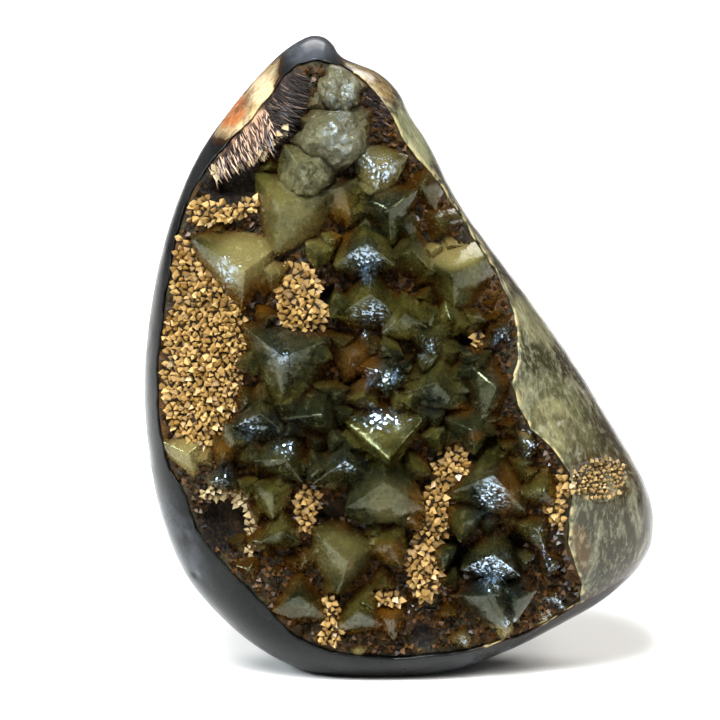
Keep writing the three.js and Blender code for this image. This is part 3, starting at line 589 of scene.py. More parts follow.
def hollow_loops(upper, lower, spokes, upper_shares, lower_shares, inset=0.0):
    """Points of a closed layer inside the rim: loops out along an upper surface, back along a lower one."""
    angle = spoke_angles(spokes)
    rows = []
    for shares, height in ((upper_shares, upper), (lower_shares, lower)):
        for share in shares:
            u, v = from_centre(angle, share * (rim_radius(angle) - inset))
            rows.append(np.stack([u, v, height(u, v)], axis=-1))
    centre = np.array([[FACE_CENTRE[0]], [FACE_CENTRE[1]]])
    poles = [np.concatenate([centre, height(*centre)[None]]).T for height in (upper, lower)]
    return np.concatenate([poles[0], *rows, poles[1]])


def hollow_floor(u, v):
    """The height of the stone under the lining."""
    return lining_top(u, v) - LINING


def single_crystals():
    """The main crystals, the two sizes between them and the lumps, each as a closed body of its own."""
    main = [form[:5] + (form[5] * MAIN_SPREAD, form[6]) for form in CRYSTALS]
    fillers = filler_forms(FILLER_COUNT, 0, FILLER_RADIUS, FILLER_DROP, FILLER_LIMITS)
    tiny = filler_forms(TINY_COUNT, TINY_SEED, TINY_RADIUS, TINY_DROP, TINY_LIMITS)
    sets = (
        (main, 0, MAIN_RINGS, MAIN_STEPS, MAIN_WEAR),
        (fillers, len(main), FILLER_RINGS, FILLER_STEPS, FILLER_WEAR),
        (tiny, TINY_SEED, TINY_RINGS, TINY_STEPS, TINY_WEAR),
    )
    bodies = []
    for forms, first, rings, steps, wear in sets:
        for corners in crystal_corners(forms, first):
            bodies.append(mesh_piece("crystal", *crystal_mesh(corners, rings, steps, *wear), linked=False))
    return bodies + [mesh_piece("lump", *lump_mesh(lump), linked=False) for lump in LUMPS]


def hollow_cutter():
    """A closed body that fills the hollow from its floor to well over the tips."""
    shares = np.arange(1, CUTTER_ROWS + 1) / CUTTER_ROWS
    points = hollow_loops(
        lambda u, v: 0 * u + OPEN_TOP, lambda u, v: hollow_floor(u, v) + CRYSTAL_SINK,
        CUTTER_SPOKES, shares, shares[::-1], CRYSTAL_GAP)
    return mesh_piece("hollow", place(*points.T), loop_faces(2 * CUTTER_ROWS, CUTTER_SPOKES), linked=False)


def crystal_union():
    """Every crystal, grown together in one solid and cut off at the hollow's wall and floor."""
    grown = bpy.data.collections.new("grown_together")
    crystals = single_crystals()
    seed, *others = crystals
    for crystal in others:
        grown.objects.link(crystal)
    cutter = hollow_cutter()
    bpy.context.scene.collection.objects.link(seed)
    bpy.context.scene.collection.children.link(grown)
    bpy.context.scene.collection.objects.link(cutter)
    join = seed.modifiers.new("join", "BOOLEAN")
    join.operation, join.solver = "UNION", "MANIFOLD"
    join.operand_type, join.collection = "COLLECTION", grown
    trim = seed.modifiers.new("trim", "BOOLEAN")
    trim.operation, trim.solver, trim.object = "INTERSECT", "MANIFOLD", cutter
    shape = bpy.data.meshes.new_from_object(seed.evaluated_get(bpy.context.evaluated_depsgraph_get()))
    for spent in (*crystals, cutter):
        bpy.data.objects.remove(spent)
    bpy.data.collections.remove(grown)
    shape.name = "calcite_crystals"
    shape.polygons.foreach_set("use_smooth", np.ones(len(shape.polygons), bool))
    shape.set_sharp_from_angle(angle=math.radians(SHARP_ANGLE))
    piece = bpy.data.objects.new("calcite_crystals", shape)
    bpy.context.scene.collection.objects.link(piece)
    mark_crystals(piece)
    return piece


def mark_crystals(piece):
    """What the crystals' finish reads at each point: its height over the lining, a number of the main crystal
    that is nearest by its radius, and the shares of the coloured spots."""
    points = np.empty(len(piece.data.vertices) * 3)
    piece.data.vertices.foreach_get("co", points)
    u, v, w = face_of(points.reshape(-1, 3) / MM)
    number_attribute(piece, "height", w - lining_top(u, v))
    middles = np.array([((form[0] + form[3]) / 2, (form[1] + form[4]) / 2, form[5]) for form in CRYSTALS])
    reach = np.hypot(u[:, None] - middles[:, 0], v[:, None] - middles[:, 1]) / middles[:, 2]
    number_attribute(piece, "turn", chance(np.argmin(reach, axis=1), 8))
    for name, zones in CRYSTAL_SPOTS.items():
        number_attribute(piece, name, share_of(u, v, zones))


# The polished stone

def stone_loops():
    """Rows from the back's middle round the outline to the rim, over a rounded lip, down the hollow's wall
    and along its floor. Each row is a loop of points (u, v, w)."""
    angle = spoke_angles(STONE_SPOKES)
    edge = stone_radius(angle) - SKIN
    ragged = noise(np.stack([np.cos(angle), np.sin(angle), 0 * angle], -1), 0.05, 7, 2)
    rim = rim_radius(angle) + RIM_RAGGEDNESS * ragged
    rows = []

    def add(reach, w):
        """One more loop, that far from the face's centre and at that height."""
        rows.append(np.stack([*from_centre(angle, reach), w + 0 * angle], -1))

    for share in np.sin(np.arange(1, BACK_ROWS) / BACK_ROWS * math.pi / 2):
        add(share * edge, -pillow(share, BACK_DEPTH - SKIN, BACK_ROUNDING))
    lip_angle = np.arcsin((rim + LIP_RADIUS) / edge)
    for step in np.arange(FRONT_ROWS + 1) / FRONT_ROWS:
        share = np.sin(math.pi / 2 + (lip_angle - math.pi / 2) * step)
        add(share * edge, pillow(share, FRONT_DEPTH, FRONT_ROUNDING))
    top = pillow((rim + LIP_RADIUS) / edge, FRONT_DEPTH, FRONT_ROUNDING)
    for turn in np.radians(LIP_TURNS):
        add(rim + LIP_RADIUS * (1 - np.sin(turn)), top - LIP_RADIUS * (1 - np.cos(turn)))
    foot = hollow_floor(*(rows[-1][:, :2].T)) - FLOOR_GAP
    for step in WALL_STEPS:
        add(rim, (top - LIP_RADIUS) * (1 - step) + foot * step)
    for share in np.arange(FLOOR_ROWS - 1, 0, -1) / FLOOR_ROWS:
        add(share * rim, hollow_floor(*from_centre(angle, share * rim)) - FLOOR_GAP)
    return rows


def polished_stone():
    """The stone as one mesh. The outside sinks at the dip and the pits, rolls in slow waves, and is lined
    along the growth on the fibrous slabs. What would pass under the flat spot is lifted to it."""
    rows = stone_loops()
    middle_floor = float(hollow_floor(*np.array(FACE_CENTRE)[:, None])[0]) - FLOOR_GAP
    first = np.array([[*FACE_CENTRE, middle_floor]])
    last = np.array([[*FACE_CENTRE, SKIN - BACK_DEPTH]])
    plain = np.concatenate([first, *rows[::-1], last])
    u, v, w = plain.T
    outside = np.arange(len(u)) >= len(u) - 1 - STONE_SPOKES * (BACK_ROWS + FRONT_ROWS)
    dip = dip_depth(u, v, w > 0)
    dents = sum(depth * np.exp(-((u - at_u) ** 2 + (v - at_v) ** 2) / size ** 2) * (w > 0)
                for at_u, at_v, size, depth in EDGE_CHIPS)
    w = w - np.where(outside, dip + dents, 0)
    w = w + np.where(outside, POLISH_WAVE * noise(plain, 14, 2) * smooth(0, 6, np.abs(w)), 0)
    growth = np.stack([(u * 0.8 - v * 0.6) * 1.6, (u * 0.6 + v * 0.8) * 0.45, 0 * u], -1)
    slab = any_blob(u, v, SLABS) * (w > 0) * outside
    w = w + slab * (SLAB_RELIEF * noise(growth, 1.1, 21, 2) - SLAB_SINK)
    points = place(u, v, w)
    points[:, 2] = np.maximum(points[:, 2], 0)
    piece = mesh_piece("polished_stone", points, loop_faces(len(rows), STONE_SPOKES))
    mark_stone(piece, plain, w)
    return piece


def mark_stone(piece, plain, w):
    """What the stone's finish reads at each point: where calcite, the painted sheen, the back and the rim are,
    by smooth steps over places and angles with ragged noise, and the calcite's colour, by its painted spots,
    with painted shade along the outline."""
    u, v = plain[:, 0], plain[:, 1]
    angle, radius = polar(u, v)
    ragged = noise(plain, 6, 9, 3)

    def tinted(tints):
        """The mask and the colour of each tinted spot."""
        return [(share * spot_mask(u, v, w, zone, ragged), text) for zone, share, text in tints]

    # Painted shade: the cut calcite is darker brown along the outline, where the rounded edge turns away from
    # the light.
    outline_shade = smooth(0.86, 0.99, radius / stone_radius(angle) + 0.05 * ragged)
    left, right_spots = tinted(LEFT_TINTS), tinted(RIGHT_TINTS)
    right = smooth(-1.25, -1.15, angle) * (1 - smooth(1.60, 1.72, angle + 0.05 * ragged))
    right = right * smooth(-0.8, 0.8, v - CALCITE_FOOT[1] - 0.5 * (u - CALCITE_FOOT[0]) + 1.6 * ragged)
    front = smooth(-6, -3, w + 3 * ragged + 6 * noise(plain, 24, 15))
    calcite = np.max([right * front, *(mask for mask, _ in left)], axis=0)
    layers = [(outline_shade * 0.85, "2a1b0a"), *left, *right_spots]
    number_attribute(piece, "calcite", calcite)
    number_attribute(piece, "back", smooth(2, 5, -w + 2 * ragged) * (1 - calcite))
    colour_attribute(piece, "tone", paint(np.tile(colour("2c2b18"), (len(u), 1)), layers))
    # Painted sheen: where paler bluish-grey highlights are painted on the slate's front and sides.
    number_attribute(piece, "painted_sheen", share_of(u, v, PAINTED_SHEEN_SPOTS) * smooth(-8, 0, w))
    number_attribute(piece, "rim", smooth(1.03, 1.01, radius / rim_radius(angle)) * (w > 0))


def spot_mask(u, v, w, zone, ragged):
    """A tinted spot on the front, with a ragged edge. It narrows and ends round the stone's side."""
    return smooth(0.2, 0.8, blob(u, v, zone) + 0.45 * ragged - 0.10 * np.maximum(0, 4 - w + 6 * ragged))


# The lining of the hollow

def fibre_lines(u, v):
    """Value noise drawn out along lines that run out from the hollow's middle."""
    angle, radius = polar(u, v)
    return noise(np.stack([angle * 60, radius * 0.25, 0 * u], -1), 1.0, 4, 2)


def lining_relief(u, v):
    """Rough matrix on the lining: value noise in three sizes, and fibre lines on the ledges."""
    flat = np.stack([u, v, 0 * u], -1)
    ledge = any_blob(u, v, FIBRE_LEDGES)
    rough = 0.35 * noise(flat, 2.4, 1) + 0.22 * noise(flat, 1.0, 2) + 0.12 * noise(flat, 0.45, 3)
    return rough * (1 - 0.6 * ledge) + 0.35 * fibre_lines(u, v) * ledge


def lining_surface(u, v):
    """The lining's height with its relief."""
    return lining_top(u, v) + lining_relief(u, v)


def lining():
    """The layer on the hollow's floor as one closed mesh, painted by its mounds and ledges, with near-black
    painted shade in its pockets and under the fibres' fringe.
    """
    shares = np.concatenate([np.arange(1, LINING_ROWS) / LINING_ROWS, [1.0]])
    loops = hollow_loops(lining_surface, hollow_floor, LINING_SPOKES, shares, UNDERSIDE_SHARES, WALL_GAP)
    u, v, w = loops.T
    rows = len(shares) + len(UNDERSIDE_SHARES)
    piece = mesh_piece("hollow_lining", place(u, v, w), loop_faces(rows, LINING_SPOKES))
    druse = smooth(0.2, 0.5, any_blob(u, v, DRUSE_MOUNDS) + 0.15 * noise(loops, 1.2, 6, 3))
    # Painted shade: the pockets and the place under the fibres' fringe are painted near-black.
    pocket = smooth(0.15, 0.6, any_blob(u, v, POCKETS))
    pocket = np.maximum(pocket, smooth(0.1, 0.4, blob(u, v, UNDER_FRINGE)))
    stripe = smooth(-0.2, 0.35, fibre_lines(u, v))
    ledge = smooth(0.2, 0.6, blob(u, v, FIBRE_LEDGES[0]))
    dark_band = smooth(0.2, 0.6, any_blob(u, v, (FIBRE_LEDGES[1], FIBRE_CAVITY)))
    amber = smooth(-0.1, 0.5, noise(loops, 5.0, 11, 2))
    tone = paint(np.tile(colour("1f1c10"), (len(u), 1)), (
        (0.7 * amber, "4a2c0a"), (druse * 0.9, "241606"), (ledge, "2a1a16"), (ledge * stripe, "a98468"),
        (dark_band, "120b0e"), (dark_band * stripe * 0.35, "4a3a30"), (pocket, "050304"),
    ))
    colour_attribute(piece, "tone", tone)
    return piece


# The druse

def surface_frame(u, v, surface, slope, step):
    """Points of a surface and the directions out of it: the cross product of small steps across and up."""
    across = place(u + step, v, slope(u + step, v)) - place(u - step, v, slope(u - step, v))
    up = place(u, v + step, slope(u, v + step)) - place(u, v - step, slope(u, v - step))
    return place(u, v, surface(u, v)), unit(np.cross(across, up))


def grain_bodies(at, out, radius, height, turn):
    """Small blunt crystals: a tip, three high and three low shoulders, and a base under the surface."""
    side = unit(np.cross(out, np.array([0.3, 0.9, 0.2])))
    up = np.cross(out, side)
    angle = turn[:, None] + np.arange(6) * math.pi / 3
    outwards = side[:, None] * np.cos(angle)[..., None] + up[:, None] * np.sin(angle)[..., None]
    low = np.arange(6) % 2 == 1
    level = height[:, None] - radius[:, None] * np.where(low, *GRAIN_SHOULDERS)
    outwards = outwards * np.where(low, *GRAIN_REACH)[:, None]
    tip = at + out * height[:, None]
    shoulder = at[:, None] + out[:, None] * level[..., None] + outwards * radius[:, None, None]
    base = at[:, None] - out[:, None] * GRAIN_FOOT + outwards * (GRAIN_TAPER * radius)[:, None, None]
    corners = np.concatenate([tip[:, None], shoulder, base], axis=1)
    start = len(GRAIN_LEVELS) * np.arange(len(at))[:, None, None]
    quads = (start + np.concatenate([TIP_FACES, SIDE_FACES])[None]).reshape(-1, 4)
    bases = start[:, :, 0] + np.arange(12, 6, -1)[None]
    return corners.reshape(-1, 3), quads.tolist() + bases.tolist()


def grain_piece(name, surface, index, channel, ways, pale, gold):
    """Grains on a surface, as one piece. Chance leans each one, and sets its radius, height, turn and tint.
    The dark ones are lower. Their finish reads how high up a point is, and how pale and golden a grain."""
    at, out = surface
    radii, heights, lean = ways
    out = unit(out + lean * np.stack([chance(index, channel + k) - 0.5 for k in (2, 3, 4)], -1))
    radius = between(radii, chance(index, channel + 5))
    height = between(heights, chance(index, channel + 6)) * np.where(gold > 0, 1, DARK_HEIGHT)
    points, faces = grain_bodies(at, out, radius, height, 2 * math.pi * chance(index, channel + 7))
    piece = mesh_piece(name, points, faces, shaded_smooth=False)
    number_attribute(piece, "level", np.tile(GRAIN_LEVELS, len(index)))
    for label, values in (("grain", chance(index, channel + 8)), ("pale", pale), ("gold", gold)):
        number_attribute(piece, label, np.repeat(values, len(GRAIN_LEVELS)))
    return piece


def scattered(spacing, channel):
    """A triangular lattice of places over the face, each moved up to a quarter of the spacing by chance."""
    rows = np.arange(-1, 96 / (spacing * 0.87))
    columns = np.arange(-40 / spacing, 40 / spacing)
    column, row = np.meshgrid(columns, rows)
    index = np.arange(column.size)
    u = ((column + 0.5 * (row % 2)) * spacing).ravel() + spacing * 0.5 * (chance(index, channel) - 0.5)
    v = (row * spacing * 0.87).ravel() + spacing * 0.5 * (chance(index, channel + 1) - 0.5)
    return u, v, index


def druse():
    """Small grains over the lining: gold on the druse mounds, pale in the fringe round the lower pocket, and
    dark amber between the crystals."""
    u, v, index = scattered(GRAIN_SPACING, 20)
    angle, radius = polar(u, v)
    patch = noise(np.stack([u, v, 0 * u], -1), 2.2, 12, 2)
    share = any_blob(u, v, DRUSE_MOUNDS + MORE_DRUSE) + 0.22 * patch
    fringe = np.min([np.hypot(u - at_u, v - at_v) for at_u, at_v in PALE_FRINGE], axis=0) < 1.0
    on_ledge = blob(u, v, FIBRE_LEDGES[0])
    ledge_edge = (on_ledge > 0.25) & (on_ledge < 0.62) & (v < 80 + 0.6 * (u + 22))
    gold = (share > 0.42) | fringe | ledge_edge
    # Dark grains keep off the ledges and off the painted shade under the fringe.
    free = (any_blob(u, v, FIBRE_LEDGES) < 0.2) & (blob(u, v, UNDER_FRINGE) < 0.4)
    kept = (gold | free) & (any_blob(u, v, POCKETS) < np.where(gold, 0.35, 0.6))
    kept &= radius < 0.985 * rim_radius(angle)
    pale, gold = (fringe | ledge_edge)[kept].astype(float), gold[kept].astype(float)
    surface = surface_frame(u[kept], v[kept], lining_surface, lining_top, DRUSE_STEP)
    ways = (GRAIN_RADIUS, GRAIN_HEIGHT, GRAIN_LEAN)
    return grain_piece("gold_druse", surface, index[kept], 20, ways, pale, gold)


def dip_druse():
    """The same grains in the shallow dip of the right edge."""
    u, v, index = scattered(EDGE_SPACING, 30)
    kept = blob(u, v, SIDE_DIP) > 0.32

    def dipped(a, b):
        """The polished front, less the dip."""
        return polished_front(a, b) - dip_depth(a, b)

    surface = surface_frame(u[kept], v[kept], dipped, dipped, EDGE_STEP)
    count = np.count_nonzero(kept)
    ways = (EDGE_RADIUS, EDGE_HEIGHT, EDGE_LEAN)
    return grain_piece("edge_druse", surface, index[kept], 30, ways, np.full(count, 0.2), np.ones(count))


def fibre_blades():
    """Flat tapering blades that lie on the ledges and point in towards the pocket and the crystals. Each has
    a heel, a four-cornered root and middle, and a tip."""
    u, v, index = scattered(FIBRE_SPACING, 40)
    on_ledge, on_band = blob(u, v, FIBRE_LEDGES[0]), any_blob(u, v, (FIBRE_LEDGES[1], FIBRE_CAVITY))
    angle, radius = polar(u, v)
    kept = ((on_ledge > 0.3) | (on_band > 0.3)) & (radius < 0.99 * rim_radius(angle))
    u, v, index = u[kept], v[kept], index[kept]
    dark = (on_band > on_ledge)[kept]
    heading = np.where(dark, DARK_HEADING, PINK_HEADING) + HEADING_SPREAD * (chance(index, 41) - 0.5)
    length = between(FIBRE_LENGTH, chance(index, 42))
    width = between(FIBRE_WIDTH, chance(index, 43))
    at, out = surface_frame(u, v, lining_surface, lining_top, DRUSE_STEP)
    ahead_u, ahead_v = u + 0.5 * np.cos(heading), v + 0.5 * np.sin(heading)
    along = unit(place(ahead_u, ahead_v, lining_top(ahead_u, ahead_v)) - place(u, v, lining_top(u, v)))
    along = unit(along + out * between(FIBRE_LIFT, chance(index, 44))[:, None])
    side = unit(np.cross(out, along))
    half_width = side * width[:, None]
    half_thickness = np.cross(along, side) * (width * 0.8)[:, None]
    ring = np.stack([half_width, half_thickness, -half_width, -half_thickness], 1)
    root = at[:, None] + ring * 0.7
    middle = (at + along * (0.55 * length)[:, None])[:, None] + ring
    tip = at + along * length[:, None]
    heel = at - along * (0.3 * length)[:, None]
    corners = np.concatenate([heel[:, None], root, middle, tip[:, None]], axis=1)
    start = 10 * np.arange(len(u))[:, None, None]
    k = np.arange(4)
    ahead = (k + 1) % 4
    quads = (start + np.stack([1 + k, 1 + ahead, 5 + ahead, 5 + k], -1)[None]).reshape(-1, 4)
    heel_fan, tip_fan = np.stack([0 * k, 1 + ahead, 1 + k], -1), np.stack([0 * k + 9, 5 + k, 5 + ahead], -1)
    triangles = (start + np.concatenate([heel_fan, tip_fan])[None]).reshape(-1, 3)
    faces = quads.tolist() + triangles.tolist()
    piece = mesh_piece("fibres", corners.reshape(-1, 3), faces, shaded_smooth=False)
    number_attribute(piece, "blade", np.repeat(chance(index, 45), 10))
    number_attribute(piece, "dark", np.repeat(dark.astype(float), 10))
    return piece


# Finishes

class Socket:
    """A node's output in a finish. Arithmetic on it adds Math nodes."""

    def __init__(self, finish, link):
        self.finish, self.link = finish, link

    def math(self, operation, *values):
        """A Math node on these values, which may be sockets or numbers."""
        return self.finish.node("ShaderNodeMath", {"operation": operation}, dict(enumerate(values)))

    def __add__(self, other):
        return self.math("ADD", self, other)

    def __sub__(self, other):
        return self.math("SUBTRACT", self, other)

    def __rsub__(self, other):
        return self.math("SUBTRACT", other, self)

    def __mul__(self, other):
        return self.math("MULTIPLY", self, other)

    __radd__, __rmul__ = __add__, __mul__

    def rise(self, low, high):
        """0 below low, 1 above high, and an S-shaped rise between them."""
        values = {"Value": self, "From Min": low, "From Max": high}
        return self.finish.node("ShaderNodeMapRange", {"interpolation_type": "SMOOTHSTEP"}, values)

    def most(self, other):
        """The greater of the two."""
        return self.math("MAXIMUM", self, other)


class Finish:
    """A material for one finish, with a method that makes any of its nodes."""

    def __init__(self, name):
        self.material = bpy.data.materials.new(name)
        self.material.use_nodes = True
        self.tree = self.material.node_tree
        self.tree.nodes.clear()
        self.at = self.node("ShaderNodeTexCoord", {}, {}, "Object")

    def node(self, kind, settings, values, output=0):
        """Makes a node, sets its settings and then its sockets, and gives one of its outputs."""
        node = self.tree.nodes.new(kind)
        for name, value in settings.items():
            setattr(node, name, value)
        for name, value in values.items():
            if isinstance(value, Socket):
                self.tree.links.new(value.link, node.inputs[name])
            elif isinstance(value, str):
                node.inputs[name].default_value = (*colour(value), 1)
            else:
                node.inputs[name].default_value = value
        return Socket(self, node.outputs[output])

    def number(self, name):
        """A number that was given to each point of the piece."""
        return self.node("ShaderNodeAttribute", {"attribute_name": name}, {}, "Fac")

    def tone(self):
        """The colour that was given to each point of the piece."""
        return self.node("ShaderNodeAttribute", {"attribute_name": "tone"}, {}, "Color")

    def cloud(self, size, detail=3, rough=0.5, at=None, bend=0.0, output=0):
        """Noise from 0 to 1 whose lumps are of that size in millimetres."""
        values = {"Vector": at or self.at, "Scale": 1 / (size * MM), "Detail": detail, "Roughness": rough}
        return self.node("ShaderNodeTexNoise", {}, {**values, "Distortion": bend}, output)

    def cells(self, size, feature="F1", output="Distance", at=None):
        """Cells of that size in millimetres: the distance to a middle or an edge, or a colour each."""
        values = {"Vector": at or self.at, "Scale": 1 / (size * MM)}
        return self.node("ShaderNodeTexVoronoi", {"feature": feature}, values, output)

    def mix(self, share, under, over):
        """One colour over another, by a share."""
        return self.node("ShaderNodeMix", {"data_type": "RGBA"}, {0: share, 6: under, 7: over}, 2)

    def layers(self, base, layers):
        """Lays colours over a base in turn, each by its share."""
        for share, over in layers:
            base = self.mix(share, base, over)
        return base

    def streaks(self, size, detail, rough, bend, length):
        """Noise drawn out along the calcite's growth: the places are turned, and shrunk along one axis."""
        values = {"Vector": self.at, "Scale": (1, 1, length), "Rotation": (0, STREAK_TURN, 0)}
        return self.cloud(size, detail, rough, self.node("ShaderNodeMapping", {}, values), bend)

    def bump(self, height, depth):
        """A normal for relief of that depth in millimetres."""
        return self.node("ShaderNodeBump", {}, {"Height": height, "Distance": depth * MM, "Strength": 1.0})

    def vector(self, operation, *values):
        """A Vector Math node on these values."""
        return self.node("ShaderNodeVectorMath", {"operation": operation}, dict(enumerate(values)))

    def facets(self, normal, size, tilt):
        """A normal that leans a different way in each small cell, for faces that glint."""
        lean = self.vector("SUBTRACT", self.cells(size, "F1", "Color"), (0.5, 0.5, 0.5))
        lean = self.node("ShaderNodeVectorMath", {"operation": "SCALE"}, {0: lean, "Scale": tilt})
        return self.vector("NORMALIZE", self.vector("ADD", normal, lean))

    def surface(self, **values):
        """A Principled shader. Words in the names of its sockets are joined with underscores."""
        values = {name.replace("_", " "): value for name, value in values.items()}
        return self.node("ShaderNodeBsdfPrincipled", {}, values)

    def shaders(self, share, under, over):
        """One shader over another, by a share."""
        return self.node("ShaderNodeMixShader", {}, {0: share, 1: under, 2: over})

    def done(self, surface, volume=None):
        """Links the surface and the volume to the output, and gives the material."""
        output = self.tree.nodes.new("ShaderNodeOutputMaterial")
        self.tree.links.new(surface.link, output.inputs["Surface"])
        if volume:
            self.tree.links.new(volume.link, output.inputs["Volume"])
        return self.material


def stone_finish():
    """Dark slate-grey stone and cut calcite, polished, with spots of painted sheen, a paler bluish grey, on
    the slate. On the back, calcite veins part the slate: they lie where bent cells meet, with a brown border
    on each side."""
    f = Finish("polished_stone")
    calcite, back = f.number("calcite"), f.number("back")
    bent = f.vector("ADD", f.at, f.vector("MULTIPLY", f.cloud(16, 3, output="Color"), (0.016, 0.016, 0.016)))
    crack = f.cells(23, "DISTANCE_TO_EDGE", at=bent) + (f.cloud(7, 4) - 0.5) * 0.12
    slate = f.layers(f.mix(f.cloud(16, 4, 0.6).rise(0.35, 0.68), "050505", "171716"), (
        (f.cloud(0.7, 2, 0.7).rise(0.52, 0.75) * 0.2, "33312d"),
        # Painted highlight: bluish grey where the painted sheen lies.
        (f.number("painted_sheen") * f.cloud(4, 4, 0.6).rise(0.3, 0.65), "44464b"),
        (calcite.rise(0.02, 0.4) * 0.8, "2c190b"),
        ((1 - crack.rise(0.035, 0.085)) * back, "2e1c0d"),
        ((1 - crack.rise(0.012, 0.032)) * back, f.mix(f.cloud(2.5, 4).rise(0.35, 0.65), "5c4220", "a08a62")),
    ))
    broad, fine = f.streaks(3.2, 5, 0.65, 0.6, 0.35), f.streaks(0.7, 4, 0.7, 0.4, 0.4)
    cut = f.layers(f.tone(), (
        (broad.rise(0.50, 0.66) * 0.45, "8d8a70"),
        ((1 - broad.rise(0.34, 0.50)) * 0.6, "2a2214"),
        (fine.rise(0.50, 0.64) * 0.22, "a9a588"),
        ((1 - fine.rise(0.36, 0.48)) * 0.35, "231a0b"),
        ((1 - calcite.rise(0.5, 0.9)) * 0.6, "38230f"),
        (f.number("rim") * f.cloud(1.5, 3).rise(0.4, 0.6) * 0.7, "b5a576"),
    ))
    normal = f.bump(f.cloud(0.9, 3) * 0.25 + f.cells(2.6).rise(0.0, 0.16) * 0.35, 0.05)
    rough = f.cloud(2.5, 3).rise(0.3, 0.7) * 0.12 + 0.16
    slate_shader = f.surface(Base_Color=slate, Roughness=rough, Normal=normal, Specular_IOR_Level=0.12)
    calcite_shader = f.surface(
        Base_Color=cut, Roughness=rough, Normal=normal, Specular_IOR_Level=0.32, Subsurface_Weight=0.25,
        Subsurface_Radius=(0.003, 0.0025, 0.0015), Subsurface_Scale=1.0)
    edge = (calcite + (f.cloud(1.2, 4) - 0.5) * 0.5).rise(0.42, 0.58)
    return f.done(f.shaders(edge, slate_shader, calcite_shader))


def lining_finish():
    """Rough, dull matrix: its painted colour, with ochre specks and random near-black patches of painted shade
    for shaded hollows.
    """
    f = Finish("hollow_lining")
    tone = f.layers(f.tone(), (
        (f.cloud(0.5, 3, 0.7).rise(0.45, 0.75) * 0.3, "6a5226"),
        # Painted shade: random near-black patches for the matrix's shaded hollows.
        ((1 - f.cloud(1.4, 3).rise(0.3, 0.5)) * 0.6, "0c0807"),
    ))
    normal = f.bump(f.cloud(0.4, 3), 0.18)
    return f.done(f.surface(Base_Color=tone, Roughness=0.7, Specular_IOR_Level=0.15, Normal=normal))


def calcite_finish():
    """Smoky calcite: clear and olive where it is dark, milky where it is pale, amber at the feet, amber in
    spots that are partly its colour and partly painted glow of light shining through, sandy at the top. Some
    faces glint, and some have silvery flakes."""
    f = Finish("calcite")
    amber_glow, pale, dark, sandy = f.number("amber_glow"), f.number("pale"), f.number("dark"), f.number("sandy")
    flashing = f.number("glint")
    foot = 1 - (f.number("height") + f.cloud(4, 2) * 2.0).rise(1.4, 4.8)
    body = f.layers(f.mix(f.cloud(4.5, 3, 0.5).rise(0.35, 0.65), "3e3d18", "7c7434"), (
        (f.number("turn").rise(0.3, 1.0) * 0.8, "232a20"),
        (foot * 0.85, "6a3e08"),
        (dark * 0.75, "1a2c30"),
        (pale * 0.75, "9a8c56"),
        # Amber glow: partly the crystals' colour, partly painted glow of light shining through them.
        (amber_glow * 0.65, "7c4a0c"),
        (sandy * 0.8, f.mix(f.cloud(0.6, 3, 0.7).rise(0.4, 0.6), "39372a", "7d7862")),
    ))
    veil = f.cloud(1.8, 4, 0.6, None, 0.8).rise(0.55, 0.75)
    worn = f.bump(f.cloud(2.2, 2) * 0.4 + sandy * f.cloud(0.5, 3, 0.7) * 2.0, 0.12)
    glint, patchy = flashing * f.cloud(1.1, 3).rise(0.40, 0.62), f.cloud(1.6, 3, 0.6).rise(0.45, 0.65)
    normal = f.facets(worn, 0.62, glint * 0.2 + patchy * 0.14 + 0.03)
    rough = f.cloud(1.8, 4, 0.6).rise(0.3, 0.7) * 0.18 + sandy * 0.3 + 0.07
    face = {"Roughness": rough, "Normal": normal, "IOR": 1.6, "Specular_IOR_Level": 0.45}
    clear = f.surface(Base_Color=body, Transmission_Weight=0.92, Specular_Tint="b0b88c", **face)
    milk = f.mix(veil * 0.5, body, "9c9162")
    milky = f.surface(Base_Color=milk, Transmission_Weight=0.3, Specular_Tint="b8bc90", **face)
    share = (pale * 0.45 + veil * 0.25 + 0.14).most(amber_glow * 0.35).most(sandy * 0.65)
    silver = f.surface(Base_Color="b8cce0", Metallic=1.0, Roughness=0.16, Normal=f.facets(worn, 0.34, 0.55))
    flakes = flashing * f.cloud(0.8, 3, 0.7).rise(0.42, 0.54) * 0.9
    absorb = f.node("ShaderNodeVolumeAbsorption", {}, {"Color": "cbbc7c", "Density": 70.0})
    return f.done(f.shaders(flakes, f.shaders(share, clear, milky), silver), absorb)


def druse_finish():
    """Grains of gold or dark amber, some pale, each darker towards its foot: painted shade in the gaps between
    the grains.
    """
    f = Finish("druse")
    grain = f.number("grain")
    gold = f.layers(f.mix(grain, "7c5c2a", "c29f62"), [(grain.rise(0.86, 0.9) * 0.7, "4a3012")])
    tone = f.layers(f.mix(grain.rise(0.3, 0.9), "1c1003", "523410"), (
        (f.number("gold"), gold),
        (f.number("pale"), "a8946c"),
        # Painted shade: near-black towards each grain's foot, in the gaps between grains.
        (1 - f.number("level").rise(0.1, 0.9), "120a03"),
    ))
    rough = grain * 0.25 + 0.25
    return f.done(f.surface(Base_Color=tone, Roughness=rough, Normal=f.bump(f.cloud(0.25, 2), 0.04)))


def fibre_finish():
    """Pink and purple-brown blades, each with its own shade."""
    f = Finish("fibres")
    blade = f.number("blade")
    pink = f.mix(blade.rise(0.45, 0.62), "33201a", "b3957c")
    pink = f.mix(blade.rise(0.8, 0.95) * 0.6, pink, "94705a")
    purple = f.mix(blade.rise(0.7, 0.95), "19100f", "5e4c40")
    return f.done(f.surface(Base_Color=f.mix(f.number("dark"), pink, purple), Roughness=0.42))


def floor_finish():
    """A plain warm white."""
    f = Finish("floor")
    return f.done(f.surface(Base_Color="f4f2ee", Roughness=0.7))


# The studio

